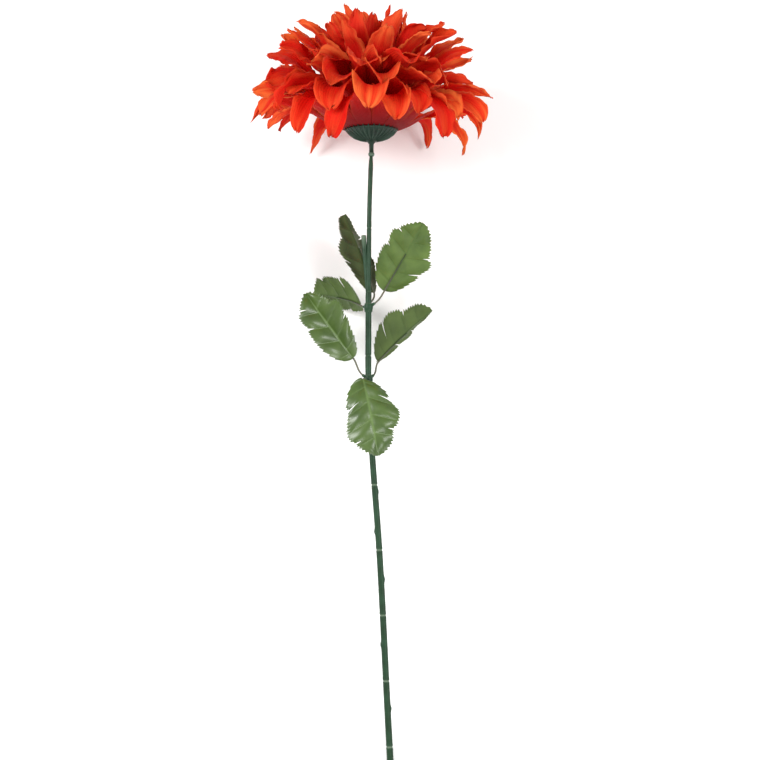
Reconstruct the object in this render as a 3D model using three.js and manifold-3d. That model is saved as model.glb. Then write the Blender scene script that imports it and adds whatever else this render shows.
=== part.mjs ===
// A single-stem chrysanthemum of the kind sold as a silk flower, lying on its side on a flat surface.
// Millimetres, +Z up. The origin is on the surface, under the middle of the flower's outline.
// The flower is built standing (stem along +Z, the side that will face up along -Y) in the group
// "standing", which then turns about X until the cut end of the stem and the lowest petals touch Z = 0.
//
// Pieces: a moulded stem with a wire in it, a moulded calyx whose upright peg carries ten whorls of
// die-cut fabric petals with a spacer ring between each two, a cap that closes the stack, and two
// moulded leaf collars, each with three leaf ribs and three fabric leaves.
import * as THREE from "three";
import { mergeVertices } from "three/addons/utils/BufferGeometryUtils.js";
import Module from "manifold-3d";

const wasm = await Module();
wasm.setup();

// ---------------------------------------------------------------- driving dimensions
const LEAN_DEG = 8.6; // how far the lying stem rises towards the flower head
const GAP = 0.3; // clear space between pieces that touch
const FABRIC = 0.5; // thickness of the stiffened petal and leaf fabric

const STEM_R_FOOT = 3.0; // stem radius at the cut end
const STEM_R_FORK = 2.7; // stem radius where the trimmed prong leaves it
const STEM_R_TOP = 2.1; // stem radius under the flower head
const STEM_TOP = 576; // where the stem enters the calyx sleeve
const JOINT_PITCH = 60; // distance between the moulded rings of the stem
const FIRST_JOINT = 28;
const WIRE_R = 0.9;
const BORE_R = 1.25;
const FORK_AT = 449; // where the trimmed prong leaves the stem
const PRONG_TOP = 501;

const HEAD_AT = new THREE.Vector3(-18.3, 0, 591); // underside of the calyx dish
const LAYER_PITCH = 3.2; // from one fabric layer to the next
const FIRST_LAYER = 8.2; // height of the lowest layer over HEAD_AT
const PEG_R = 2.4;
const HOLE_R = 2.9; // hole in every fabric layer
const SPACER_R = 4.6;

// Stem centreline, standing: x and z at the points it passes through.
const STEM_LINE = [
  [0, 0],
  [-4.6, 88],
  [-7.5, 148],
  [-11.3, 215],
  [-17.0, 290],
  [-20.6, 350],
  [-21.0, 420],
  [-20.6, 480],
  [-20.0, 530],
  [-18.5, 576],
];

// One row per whorl, from the calyx up. petals: how many; length: along a petal from the axis to its
// tip; rise: the petal's slope in degrees at the disc, at a third of its length and at its tip;
// width: the widest part of a petal; web: how far from the axis the petals stay joined.
const WHORLS = [
  { petals: 14, length: 121, rise: [10, 31, -22], width: 29, web: 40 },
  { petals: 14, length: 120, rise: [16, 37, -4], width: 29, web: 38 },
  { petals: 13, length: 117, rise: [24, 43, 9], width: 28, web: 35 },
  { petals: 13, length: 114, rise: [33, 49, 20], width: 28, web: 32 },
  { petals: 12, length: 111, rise: [42, 55, 30], width: 27, web: 29 },
  { petals: 11, length: 108, rise: [51, 61, 41], width: 26, web: 26 },
  { petals: 10, length: 104, rise: [60, 67, 52], width: 24, web: 23 },
  { petals: 9, length: 99, rise: [68, 73, 63], width: 22, web: 20 },
  { petals: 7, length: 93, rise: [76, 79, 73], width: 19, web: 18 },
  { petals: 5, length: 84, rise: [83, 85, 82], width: 14, web: 16 },
];

// Leaves, standing. base and tip: the ends of the blade's midrib; face: the side that is the top of the
// leaf; arch: how far the midrib turns between its ends, in degrees, its middle bulging towards the
// face (+) or away from it (-); fold: slope of the two halves, in degrees, towards the face.
const LEAVES = {
  lower_front: {
    collar: "lower",
    base: [-26, -9.5, 366],
    tip: [-12, -19, 294.5],
    face: [0.05, -1, 0.1],
    width: 51,
    arch: 60,
    fold: -6,
  },
  lower_left: {
    collar: "lower",
    base: [-35.3, -5, 385.5],
    tip: [-79, -12, 444.8],
    face: [-0.05, -1, -0.14],
    width: 46,
    arch: 20,
    fold: 26,
  },
  lower_right: {
    collar: "lower",
    base: [-12.5, 6, 383.2],
    tip: [38.7, 20, 432.8],
    face: [-0.48, 0.72, 0.5],
    width: 48,
    arch: 14,
    fold: 38,
  },
  upper_right: {
    collar: "upper",
    base: [-6, -1, 448.7],
    tip: [30.5, 8, 513.5],
    face: [-0.08, 1, -0.1],
    width: 50,
    arch: 16,
    fold: 9,
  },
  upper_left: {
    collar: "upper",
    base: [-28, 8, 437],
    tip: [-73.5, 56, 452],
    face: [0.64, 0.34, 0.68],
    width: 48,
    arch: 22,
    fold: 12,
  },
  upper_back: {
    collar: "upper",
    base: [-17, 16, 449],
    tip: [-45, 38, 526],
    face: [-0.7, 0.55, -0.42],
    width: 46,
    arch: -12,
    fold: 10,
  },
};
const COLLARS = { lower: 366, upper: 433 }; // height of each leaf collar up the standing stem
const RIB_R = 0.85;
const RIB_SHARE = 0.55; // how far along its blade a rib runs

const PLASTIC = { color: 0x3f5d40, roughness: 0.45, metalness: 0 };
const PETAL = { color: 0xdf3a20, roughness: 0.7, metalness: 0 };
const LEAF = { color: 0x58743a, roughness: 0.45, metalness: 0 };
const RIB = { color: 0x55574a, roughness: 0.5, metalness: 0 };
const METAL = { color: 0x9a9a98, roughness: 0.35, metalness: 1 };

// ---------------------------------------------------------------- small helpers
const radians = THREE.MathUtils.degToRad;
const smooth = (t) => t * t * (3 - 2 * t);
const clamp01 = (t) => Math.min(1, Math.max(0, t));
const vector = (list) => new THREE.Vector3(...list);

// A repeatable number from 0 to 1 for whorl i, petal j and use k.
function chance(i, j, k) {
  const s = Math.sin(i * 127.1 + j * 311.7 + k * 74.7) * 43758.5453;
  return s - Math.floor(s);
}

function geometryOf(points, triangles) {
  const geometry = new THREE.BufferGeometry();
  const flat = new Float32Array(points.flatMap((p) => [p.x, p.y, p.z]));
  geometry.setAttribute("position", new THREE.BufferAttribute(flat, 3));
  geometry.setIndex(triangles);
  geometry.computeVertexNormals();
  return geometry;
}

// Joins rings of equal point counts one to the next and closes both ends with a centre point.
// Seen along the way the rings go, each ring runs anticlockwise for faces that point outwards.
function loft(rings) {
  const sides = rings[0].length;
  const points = rings.flat();
  const triangles = [];
  rings.slice(1).forEach((_, k) => {
    for (let i = 0; i < sides; i++) {
      const a = k * sides + i;
      const b = k * sides + ((i + 1) % sides);
      triangles.push(a, b, b + sides, a, b + sides, a + sides);
    }
  });
  const middle = (ring) =>
    ring.reduce((sum, p) => sum.add(p), new THREE.Vector3()).divideScalar(sides);
  const first = points.push(middle(rings[0])) - 1;
  const last = points.push(middle(rings.at(-1))) - 1;
  const end = (rings.length - 1) * sides;
  for (let i = 0; i < sides; i++) {
    const next = (i + 1) % sides;
    triangles.push(first, next, i, last, end + i, end + next);
  }
  return geometryOf(points, triangles);
}

// A ring of points round a centre, in the plane across the direction of travel.
function ringAt(centre, along, radius, sides, start = new THREE.Vector3(1, 0, 0)) {
  const u = start.clone().addScaledVector(along, -start.dot(along)).normalize();
  const v = along.clone().cross(u);
  const points = [];
  for (let i = 0; i < sides; i++) {
    const a = (2 * Math.PI * i) / sides;
    const r = typeof radius === "function" ? radius(a) : radius;
    points.push(
      centre
        .clone()
        .addScaledVector(u, r * Math.cos(a))
        .addScaledVector(v, r * Math.sin(a)),
    );
  }
  return points;
}

function solidOf(geometry) {
  const bare = geometry.clone();
  bare.deleteAttribute("normal");
  const merged = mergeVertices(bare, 1e-4);
  return new wasm.Manifold(
    new wasm.Mesh({
      numProp: 3,
      vertProperties: merged.attributes.position.array,
      triVerts: new Uint32Array(merged.index.array),
    }),
  );
}

function geometryFromSolid(solid) {
  const mesh = solid.getMesh();
  const geometry = new THREE.BufferGeometry();
  geometry.setAttribute(
    "position",
    new THREE.BufferAttribute(new Float32Array(mesh.vertProperties), 3),
  );
  geometry.setIndex(new THREE.BufferAttribute(new Uint32Array(mesh.triVerts), 1));
  geometry.computeVertexNormals();
  return geometry;
}

function addPiece(group, name, geometry, finish) {
  const mesh = new THREE.Mesh(geometry, new THREE.MeshStandardMaterial(finish));
  mesh.name = name;
  group.add(mesh);
  return mesh;
}

// ---------------------------------------------------------------- stem and wire
const stemCurve = new THREE.CatmullRomCurve3(
  STEM_LINE.map(([x, z]) => new THREE.Vector3(x, 0, z)),
);

// The stem's centre and direction at a height up the standing stem.
function stemAt(z) {
  let low = 0;
  let high = 1;
  for (let n = 0; n < 30; n++) {
    const middle = (low + high) / 2;
    if (stemCurve.getPoint(middle).z < z) low = middle;
    else high = middle;
  }
  return { centre: stemCurve.getPoint(low), along: stemCurve.getTangent(low) };
}

function stemRadius(z) {
  const foot = THREE.MathUtils.lerp(STEM_R_FOOT, STEM_R_FORK, clamp01(z / FORK_AT));
  const shoulder = smooth(clamp01((z - FORK_AT + 6) / 12));
  return THREE.MathUtils.lerp(foot, STEM_R_TOP, shoulder);
}

function stemGeometry() {
  const sides = 10;
  const ring = (z, r) => {
    const { centre, along } = stemAt(z);
    return ringAt(centre, along, r, sides);
  };
  const inside = [560, 480, 400, 320, 240, 160, 80, 0].map((z) => {
    const { centre, along } = stemAt(z);
    return ringAt(centre, along, BORE_R, sides);
  });
  const outside = [ring(0, STEM_R_FOOT)];
  for (let z = FIRST_JOINT; z < STEM_TOP - 25; z += JOINT_PITCH) {
    const r = stemRadius(z);
    outside.push(ring(z - 1.6, r), ring(z - 0.7, r * 0.84), ring(z + 0.7, r * 0.84));
    outside.push(ring(z + 1.6, r * 1.03), ring(z + 30, stemRadius(z + 30)));
  }
  outside.push(ring(STEM_TOP - 8, STEM_R_TOP), ring(STEM_TOP - 2, STEM_R_TOP * 0.68));
  outside.push(ring(STEM_TOP + 7, STEM_R_TOP * 0.68)); // the tip that plugs into the calyx
  // The wall starts at the closed top of the bore, runs down it and comes up the outside.
  const down = inside.map((points) => points.slice());
  const body = solidOf(loft([...down, ...outside]));

  // The trimmed side prong, which leaves the stem at the fork and ends in a square cut.
  const foot = stemAt(FORK_AT - 12);
  const top = stemAt(PRONG_TOP);
  const tip = top.centre.clone().add(new THREE.Vector3(-5.1, 0.6, 0));
  const run = tip.clone().sub(foot.centre).normalize();
  const prong = [0.06, 0.5, 1].map((t) => {
    const centre = foot.centre.clone().lerp(tip, t);
    return ringAt(centre, run, THREE.MathUtils.lerp(1.3, 2.3, t), sides);
  });
  const bore = solidOf(
    loft(inside.slice().reverse().map((points) => points.slice())),
  );
  return geometryFromSolid(body.add(solidOf(loft(prong)).subtract(bore)));
}

function wireGeometry() {
  const rings = [0.4, 80, 160, 240, 320, 400, 480, 556].map((z) => {
    const { centre, along } = stemAt(z);
    return ringAt(centre, along, WIRE_R, 6);
  });
  return loft(rings);
}

// ---------------------------------------------------------------- calyx, spacers and cap
const STACK_TOP = FIRST_LAYER + LAYER_PITCH * (WHORLS.length - 1);

// Heights here are over HEAD_AT. The dish carries 18 ribs round its underside.
function calyxGeometry() {
  const sides = 36;
  const up = new THREE.Vector3(0, 0, 1);
  const ribbed = (r) => (a) => r * (1 + 0.025 * Math.cos(18 * a));
  const profile = [
    [-4, 1.75], // closed end of the socket
    [-15, 1.75], // mouth of the socket
    [-15, 2.6],
    [-12.5, 2.9], // bead round the mouth
    [-11, 2.15],
    [-3, 2.15],
    [-1.2, 3.3],
    [0.4, ribbed(6)],
    [2.6, ribbed(15)],
    [5.4, ribbed(22)],
    [6.8, 23.2], // rim
    [7.2, 22.4],
    [6.2, 14],
    [6.2, PEG_R + 1],
    [7.4, PEG_R],
    [STACK_TOP + 6, PEG_R],
  ];
  return loft(
    profile.map(([h, r]) => ringAt(new THREE.Vector3(0, 0, h), up, r, sides)),
  );
}

// A ring of rectangular section round the head's axis.
function collarRing(low, high, inner, outer, sides) {
  const profile = [
    [inner, low],
    [outer, low],
    [outer, high],
    [inner, high],
    [inner, low],
  ].map(([r, h]) => new THREE.Vector2(r, h));
  const lathe = new THREE.LatheGeometry(profile, sides);
  lathe.rotateX(Math.PI / 2); // a lathe turns about Y; the head's axis is Z
  lathe.deleteAttribute("normal");
  lathe.deleteAttribute("uv");
  return mergeVertices(lathe, 1e-4);
}

function capGeometry() {
  const up = new THREE.Vector3(0, 0, 1);
  const base = STACK_TOP + FABRIC / 2 + GAP;
  const inner = PEG_R + GAP;
  const profile = [
    [STACK_TOP + 6.4, inner],
    [base, inner],
    [base, 3.9],
    [base + 3, 4.1],
    [base + 6.5, 3.8],
    [base + 9, 1.6],
  ];
  return loft(
    profile.map(([h, r]) => ringAt(new THREE.Vector3(0, 0, h), up, r, 12)),
  );
}

// ---------------------------------------------------------------- petals
const TIP_ROWS = [0.5, 0.68, 0.85, 0.985]; // where a petal is cut across beyond its web
const LEAN = radians(LEAN_DEG);
const FOOT_LIFT = STEM_R_FOOT * Math.cos(LEAN);

// How high a standing point is over the surface once the flower lies down.
function heightLying(p) {
  return FOOT_LIFT - p.y * Math.cos(LEAN) + p.z * Math.sin(LEAN);
}

// Radius of the flat disc at the middle of a whorl. Each disc is smaller than the one below it, so the
// petals that rise from them stand inside one another.
function discRadius(index) {
  return SPACER_R + 0.9 + 0.85 * (WHORLS.length - 1 - index);
}

// Slope of whorl w's petals at the distance s along them, in radians. bend adds to it towards the tip.
function slopeAt(w, index, s, bend) {
  const flat = discRadius(index);
  if (s < flat) return 0;
  const t = (s - flat) / (w.length - flat);
  const [atDisc, atThird, atTip] = w.rise;
  const slope =
    t < 0.35
      ? THREE.MathUtils.lerp(atDisc, atThird, smooth(t / 0.35))
      : THREE.MathUtils.lerp(atThird, atTip, smooth((t - 0.35) / 0.65));
  return radians(slope + bend * t * t);
}

// The petal's centreline as samples of radius, height and slope at equal steps from the axis.
function petalLine(w, index, bend) {
  const steps = 96;
  const step = w.length / steps;
  let r = 0;
  let h = FIRST_LAYER + LAYER_PITCH * index;
  const line = [];
  for (let k = 0; k <= steps; k++) {
    const slope = slopeAt(w, index, (k + 0.5) * step, bend);
    line.push({ r, h, slope });
    r += Math.cos(slope) * step;
    h += Math.sin(slope) * step;
  }
  return line;
}

function sample(line, share) {
  const x = clamp01(share) * (line.length - 1);
  const k = Math.min(Math.floor(x), line.length - 2);
  const mix = (key) => THREE.MathUtils.lerp(line[k][key], line[k + 1][key], x - k);
  return { r: mix("r"), h: mix("h"), slope: mix("slope") };
}

// Half the width of a petal, as a share of its widest, at the share t of its length.
function petalOutline(t) {
  const grow = 0.62 + 0.38 * smooth(clamp01((t - 0.3) / 0.42));
  const tip = t < 0.78 ? 1 : Math.sqrt(Math.max(0, 1 - ((t - 0.78) / 0.225) ** 2));
  return grow * tip;
}

// The point of a petal at the share t of its length and v across it (-1 to 1), standing.
function petalPoint(w, index, line, azimuth, t, v, side) {
  const { r, h, slope } = sample(line, t);
  const out = new THREE.Vector3(Math.cos(azimuth), Math.sin(azimuth), 0);
  const across = new THREE.Vector3(-Math.sin(azimuth), Math.cos(azimuth), 0);
  const up = new THREE.Vector3(0, 0, 1);
  const inward = out.clone().multiplyScalar(-Math.sin(slope)).addScaledVector(up, Math.cos(slope));
  const half = Math.PI / w.petals;
  const point = new THREE.Vector3();
  if (t * w.length <= w.web + 1e-6) {
    const a = azimuth + v * half;
    point.set(r * Math.cos(a), r * Math.sin(a), h);
  } else {
    const room = 0.93 * r * Math.tan(half);
    const share = clamp01((t * w.length - w.web) / 12);
    const wide = (w.width / 2) * petalOutline(t);
    const reach = Math.min(room, THREE.MathUtils.lerp(r * Math.sin(half), wide, share));
    const cup = 1.5 + 0.9 * v * v * smooth(clamp01((t - 0.4) / 0.4));
    point.copy(out).multiplyScalar(r).addScaledVector(up, h);
    point.addScaledVector(across, v * reach).addScaledVector(inward, cup - 1.5);
  }
  point.addScaledVector(inward, (side * FABRIC) / 2);
  return point.add(HEAD_AT);
}

// How high the lowest point of a petal's middle surface is over the surface the flower lies on.
function petalClearance(w, index, azimuth, bend) {
  const line = petalLine(w, index, bend);
  let low = Infinity;
  for (const t of [w.web / w.length, ...TIP_ROWS])
    for (const v of [-1, 0, 1])
      low = Math.min(low, heightLying(petalPoint(w, index, line, azimuth, t, v, 0)));
  return low;
}

// The value nearest to `wanted` for which the test holds; it holds at `safe`.
function nearestThatHolds(wanted, safe, holds) {
  if (holds(wanted)) return wanted;
  for (let n = 0; n < 24; n++) {
    const middle = (wanted + safe) / 2;
    if (holds(middle)) safe = middle;
    else wanted = middle;
  }
  return safe;
}

// A petal that would pass through the surface is made shorter: it stands for one that folds up
// against the flower there. Each whorl keeps clear of the one it lies in.
function fittedPetal(w, index, azimuth, droop) {
  const need = FABRIC / 2 + 0.05 + 3 * index;
  const length = nearestThatHolds(
    w.length,
    w.length * 0.6,
    (value) => petalClearance({ ...w, length: value }, index, azimuth, droop) >= need,
  );
  return { w: { ...w, length }, bend: droop };
}

// One closed sheet: a disc with a hole, split into petals beyond the web.
function whorlGeometry(w, index) {
  const disc = discRadius(index);
  const webRows = [HOLE_R, disc, (disc + w.web) / 2, w.web].map((s) => s / w.length);
  const points = [];
  const triangles = [];
  const face = (a, b, c) => triangles.push(a, b, c);
  const quad = (a, b, c, d) => {
    face(a, b, c);
    face(a, c, d);
  };
  const turn = (2 * Math.PI) / w.petals;
  const petals = [];
  for (let j = 0; j < w.petals; j++) {
    const azimuth = turn * (j + 0.5 * (index % 2)) + turn * 0.1 * (chance(index, 0, 3) - 0.5);
    const droop = index === 0 ? -6 - 22 * chance(index, j, 1) : -5 * chance(index, j, 1);
    const fitted = fittedPetal(w, index, azimuth, droop);
    petals.push({ azimuth, w: fitted.w, line: petalLine(fitted.w, index, fitted.bend) });
  }
  // Petals share their web, so beside a petal's own line the web takes its neighbour's mean height.
  const plain = petalLine(w, index, 0);
  const web = { top: [], bottom: [] };
  for (const [key, side] of [["top", 1], ["bottom", -1]])
    for (const t of webRows) {
      const row = [];
      for (let j = 0; j < w.petals; j++)
        for (const v of [-1, 0])
          row.push(points.push(petalPoint(w, index, plain, petals[j].azimuth, t, v, side)) - 1);
      web[key].push(row);
    }
  const around = web.top[0].length;
  for (let k = 0; k + 1 < webRows.length; k++)
    for (let i = 0; i < around; i++) {
      const next = (i + 1) % around;
      quad(web.top[k][i], web.top[k + 1][i], web.top[k + 1][next], web.top[k][next]);
      quad(web.bottom[k][i], web.bottom[k][next], web.bottom[k + 1][next], web.bottom[k + 1][i]);
    }
  for (let i = 0; i < around; i++) {
    const next = (i + 1) % around;
    quad(web.top[0][i], web.top[0][next], web.bottom[0][next], web.bottom[0][i]);
  }
  petals.forEach((petal, j) => {
    const rows = { top: [], bottom: [] };
    for (const [key, side] of [["top", 1], ["bottom", -1]]) {
      const last = web[key].at(-1);
      rows[key].push([last[2 * j], last[2 * j + 1], last[(2 * j + 2) % around]]);
      for (const t of TIP_ROWS)
        rows[key].push(
          [-1, 0, 1].map(
            (v) => points.push(petalPoint(petal.w, index, petal.line, petal.azimuth, t, v, side)) - 1,
          ),
        );
    }
    for (let k = 0; k < TIP_ROWS.length; k++) {
      const [t0, t1] = [rows.top[k], rows.top[k + 1]];
      const [b0, b1] = [rows.bottom[k], rows.bottom[k + 1]];
      for (const c of [0, 1]) {
        quad(t0[c], t1[c], t1[c + 1], t0[c + 1]);
        quad(b0[c], b0[c + 1], b1[c + 1], b1[c]);
      }
      quad(t0[0], b0[0], b1[0], t1[0]);
      quad(t0[2], t1[2], b1[2], b0[2]);
    }
    const [t, b] = [rows.top.at(-1), rows.bottom.at(-1)];
    for (const c of [0, 1]) quad(t[c], b[c], b[c + 1], t[c + 1]);
  });
  return geometryOf(points, triangles);
}

// ---------------------------------------------------------------- leaves
// Half the width of a leaf, as a share of its widest, at the share t of its length. Two narrow slits
// on each side part the blade into lobes.
function leafOutline(t, side) {
  const body = Math.max(0.06, Math.sin(Math.PI * clamp01(t) ** 0.85)) ** 0.57;
  const slits = side < 0 ? [0.3, 0.74] : [0.24, 0.58];
  const inSlit = slits.some((at) => Math.abs(t - at) < 0.008);
  return inSlit ? body * 0.52 : body;
}

// A leaf's own directions, and its midrib as an arc from base to tip.
function leafFrame(leaf) {
  const base = vector(leaf.base);
  const chord = vector(leaf.tip).sub(base);
  const span = chord.length();
  const along = chord.normalize();
  const face = vector(leaf.face);
  face.addScaledVector(along, -face.dot(along)).normalize();
  const across = along.clone().cross(face).normalize();
  const arch = radians(leaf.arch);
  const length = (span * arch) / 2 / Math.sin(arch / 2);
  const at = (s) => {
    const angle = arch / 2 - (arch * s) / length;
    return base
      .clone()
      .addScaledVector(along, (length / arch) * (Math.sin(arch / 2) - Math.sin(angle)))
      .addScaledVector(face, (length / arch) * (Math.cos(angle) - Math.cos(arch / 2)));
  };
  const faceAt = (s) => {
    const angle = arch / 2 - (arch * s) / length;
    return face.clone().multiplyScalar(Math.cos(angle)).addScaledVector(along, -Math.sin(angle));
  };
  return { across, at, faceAt, length };
}

// The veins leave the midrib at a slant, so a row of the blade sweeps forwards towards its edges.
function leafPoint(leaf, frame, t, v, side) {
  const half = (leaf.width / 2) * leafOutline(t, Math.sign(v));
  const sweep = 0.5 * Math.abs(v) * half * (1 - t) * clamp01(t * 5);
  const s = frame.length * t + sweep;
  const face = frame.faceAt(s);
  const fold = radians(leaf.fold);
  return frame
    .at(s)
    .addScaledVector(frame.across, v * half * Math.cos(fold))
    .addScaledVector(face, Math.abs(v) * half * Math.sin(fold) + (side * FABRIC) / 2);
}

function leafGeometry(leaf) {
  const frame = leafFrame(leaf);
  const rows = [0.0, 0.12, 0.225, 0.24, 0.255, 0.285, 0.3, 0.315, 0.44, 0.565, 0.58, 0.595];
  rows.push(0.66, 0.725, 0.74, 0.755, 0.86, 0.95, 1.0);
  const columns = [-1, 0, 1];
  const points = [];
  const triangles = [];
  const quad = (a, b, c, d) => triangles.push(a, b, c, a, c, d);
  const grid = [1, -1].map((side) =>
    rows.map((t) => columns.map((v) => points.push(leafPoint(leaf, frame, t, v, side)) - 1)),
  );
  const [top, bottom] = grid;
  for (let k = 0; k + 1 < rows.length; k++) {
    for (let c = 0; c + 1 < columns.length; c++) {
      quad(top[k][c], top[k][c + 1], top[k + 1][c + 1], top[k + 1][c]);
      quad(bottom[k][c], bottom[k + 1][c], bottom[k + 1][c + 1], bottom[k][c + 1]);
    }
    quad(top[k][0], top[k + 1][0], bottom[k + 1][0], bottom[k][0]);
    quad(top[k][2], bottom[k][2], bottom[k + 1][2], top[k + 1][2]);
  }
  const end = rows.length - 1;
  for (const c of [0, 1]) {
    quad(top[0][c], bottom[0][c], bottom[0][c + 1], top[0][c + 1]);
    quad(top[end][c], top[end][c + 1], bottom[end][c + 1], bottom[end][c]);
  }
  return geometryOf(points, triangles);
}

// Where a leaf's stub leaves its collar: outwards, and up as far as the leaf's base is up.
function stubOf(leaf) {
  const { centre } = stemAt(COLLARS[leaf.collar]);
  const away = vector(leaf.base).sub(centre);
  const rise = THREE.MathUtils.clamp(away.z / 20, -0.2, 0.7);
  away.setZ(0).normalize();
  away.z = rise;
  return { centre, away: away.normalize() };
}

function collarGeometry(which) {
  const z = COLLARS[which];
  const { centre, along } = stemAt(z);
  const inner = stemRadius(z) + GAP;
  const sides = 12;
  const ring = (lift, r) => ringAt(centre.clone().addScaledVector(along, lift), along, r, sides);
  const wall = loft([ring(-4, 4.3), ring(-1, 4.9), ring(2.5, 4.4), ring(4, 4.0)]);
  let body = solidOf(wall);
  for (const leaf of Object.values(LEAVES).filter((l) => l.collar === which)) {
    const { away } = stubOf(leaf);
    const stub = loft(
      [2.5, 7].map((d) =>
        ringAt(centre.clone().addScaledVector(away, d), away, d < 5 ? 1.9 : 1.5, 8, new THREE.Vector3(0, 0, 1)),
      ),
    );
    body = body.add(solidOf(stub));
  }
  const hole = loft([ring(-9, inner), ring(0, inner), ring(9, inner)]);
  return geometryFromSolid(body.subtract(solidOf(hole)));
}

// A leaf's rib leaves its stub, bends to the blade and runs on under it.
function ribGeometry(leaf) {
  const frame = leafFrame(leaf);
  const { centre, away } = stubOf(leaf);
  const start = centre.clone().addScaledVector(away, 7 + GAP);
  const under = (s) =>
    frame.at(s).addScaledVector(frame.faceAt(s), -(FABRIC / 2 + GAP + RIB_R));
  const first = under(0);
  const lead = under(1).sub(first).normalize();
  const reach = first.distanceTo(start) * 0.4;
  const petiole = new THREE.CubicBezierCurve3(
    start,
    start.clone().addScaledVector(away, reach),
    first.clone().addScaledVector(lead, -reach),
    first,
  );
  const rings = [];
  for (let k = 0; k < 6; k++)
    rings.push(ringAt(petiole.getPoint(k / 6), petiole.getTangent(k / 6), RIB_R, 6, frame.across));
  for (let k = 0; k <= 6; k++) {
    const s = (k / 6) * RIB_SHARE * frame.length;
    const along = under(s + 0.5).sub(under(s)).normalize();
    rings.push(ringAt(under(s), along, THREE.MathUtils.lerp(RIB_R, 0.45, k / 6), 6, frame.across));
  }
  return loft(rings);
}

// ---------------------------------------------------------------- assembly
const standing = new THREE.Group();
addPiece(standing, "stem", stemGeometry(), PLASTIC);
addPiece(standing, "stem_wire", wireGeometry(), METAL);

const head = new THREE.Group();
head.position.copy(HEAD_AT);
standing.add(head);
addPiece(head, "calyx", calyxGeometry(), PLASTIC);
addPiece(head, "centre_cap", capGeometry(), PLASTIC);
WHORLS.forEach((w, index) => {
  const number = String(index + 1).padStart(2, "0");
  addPiece(standing, `petal_whorl_${number}`, whorlGeometry(w, index), PETAL);
  if (index + 1 < WHORLS.length) {
    const low = FIRST_LAYER + LAYER_PITCH * index + FABRIC / 2 + GAP;
    const high = low + LAYER_PITCH - FABRIC - 2 * GAP;
    const ring = collarRing(low, high, HOLE_R, SPACER_R, 10);
    addPiece(head, `spacer_${number}`, ring, PLASTIC);
  }
});

for (const which of Object.keys(COLLARS))
  addPiece(standing, `${which}_leaf_collar`, collarGeometry(which), PLASTIC);
for (const [name, leaf] of Object.entries(LEAVES)) {
  addPiece(standing, `${name}_leaf`, leafGeometry(leaf), LEAF);
  addPiece(standing, `${name}_rib`, ribGeometry(leaf), RIB);
}

// Lay the flower down, then bring the middle of its outline over the origin.
const flower = new THREE.Group();
flower.add(standing);
standing.rotation.x = LEAN - Math.PI / 2;
standing.position.z = FOOT_LIFT;
flower.updateMatrixWorld(true);
const outline = new THREE.Box3().setFromObject(flower, true);
standing.position.x = -(outline.min.x + outline.max.x) / 2;
standing.position.y = -(outline.min.y + outline.max.y) / 2;
standing.position.z -= outline.min.z;

export default flower;
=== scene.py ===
import math

import bmesh
import bpy
import numpy as np
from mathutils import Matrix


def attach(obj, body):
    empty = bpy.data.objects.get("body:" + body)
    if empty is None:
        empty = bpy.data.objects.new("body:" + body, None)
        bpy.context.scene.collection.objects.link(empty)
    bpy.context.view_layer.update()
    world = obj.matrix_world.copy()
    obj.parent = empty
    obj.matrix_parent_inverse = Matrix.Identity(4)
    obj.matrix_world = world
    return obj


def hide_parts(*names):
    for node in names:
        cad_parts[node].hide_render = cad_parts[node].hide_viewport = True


# %% [markdown]
# # A silk chrysanthemum, lying on its side
#
# The flower is an artificial one: ten whorls of die-cut satin petals on a plastic peg, a ribbed
# calyx, a moulded stem with a wire in it, and two sprigs of coated fabric leaves. This lesson makes
# each piece from the way the real one is made. It starts from a plain construction model, the
# frame, which says where every piece is. Each finished piece then takes the place of its plain one.

# %% Load the frame
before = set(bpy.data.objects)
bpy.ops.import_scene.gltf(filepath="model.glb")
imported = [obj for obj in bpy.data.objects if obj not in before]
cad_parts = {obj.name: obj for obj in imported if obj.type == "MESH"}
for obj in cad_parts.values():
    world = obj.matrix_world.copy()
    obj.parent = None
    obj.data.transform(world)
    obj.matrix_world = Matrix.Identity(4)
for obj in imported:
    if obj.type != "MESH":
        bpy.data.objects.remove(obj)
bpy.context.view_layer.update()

# %% [markdown]
# ## One place for the standing flower and the lying one
#
# A flower is easiest to draw standing, with its stem along Z: the petals are then turned round one
# axis. It rests lying down, so one function turns standing millimetres into lying metres. We could
# parent everything to an empty and turn that, but then each object would carry a rotation, and a
# pattern in object coordinates would turn with it. Turning the points keeps every object unturned.

# %% From standing millimetres to lying metres
LEAN = math.radians(8.6)  # how far the lying stem rises towards the flower head
OFFSET = np.array([18.406, -351.614, 2.902])  # puts the middle of the outline over the origin
HEAD_AT = np.array([-18.3, 0.0, 591.0])  # underside of the calyx dish, standing


def turn(vectors):
    """Turns standing directions into lying ones."""
    v = np.asarray(vectors, float)
    across, away, up = v[..., 0], v[..., 1], v[..., 2]
    return np.stack(
        [
            across,
            up * math.cos(LEAN) + away * math.sin(LEAN),
            up * math.sin(LEAN) - away * math.cos(LEAN),
        ],
        axis=-1,
    )


def lie(points):
    """Turns standing points in millimetres into lying points in metres."""
    return (turn(points) + OFFSET) / 1000


print("the head's foot lies at", lie(HEAD_AT).round(4))

# %% [markdown]
# ## The camera
#
# The camera looks down on the lying flower, so the stem runs straight up the picture and the head is
# seen a little from below, from the calyx's side. A long lens keeps both ends of the stem at nearly
# the same size. We set it from a point on the stem, a distance and one angle.

# %% Camera
CAMERA_DOWN = math.radians(77.6)  # how steeply it looks down
CAMERA_DISTANCE = 1.669
LENS, SENSOR = 85, 36  # millimetres
LOOKED_AT = lie([-10.2, 0, 365.4])

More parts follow.
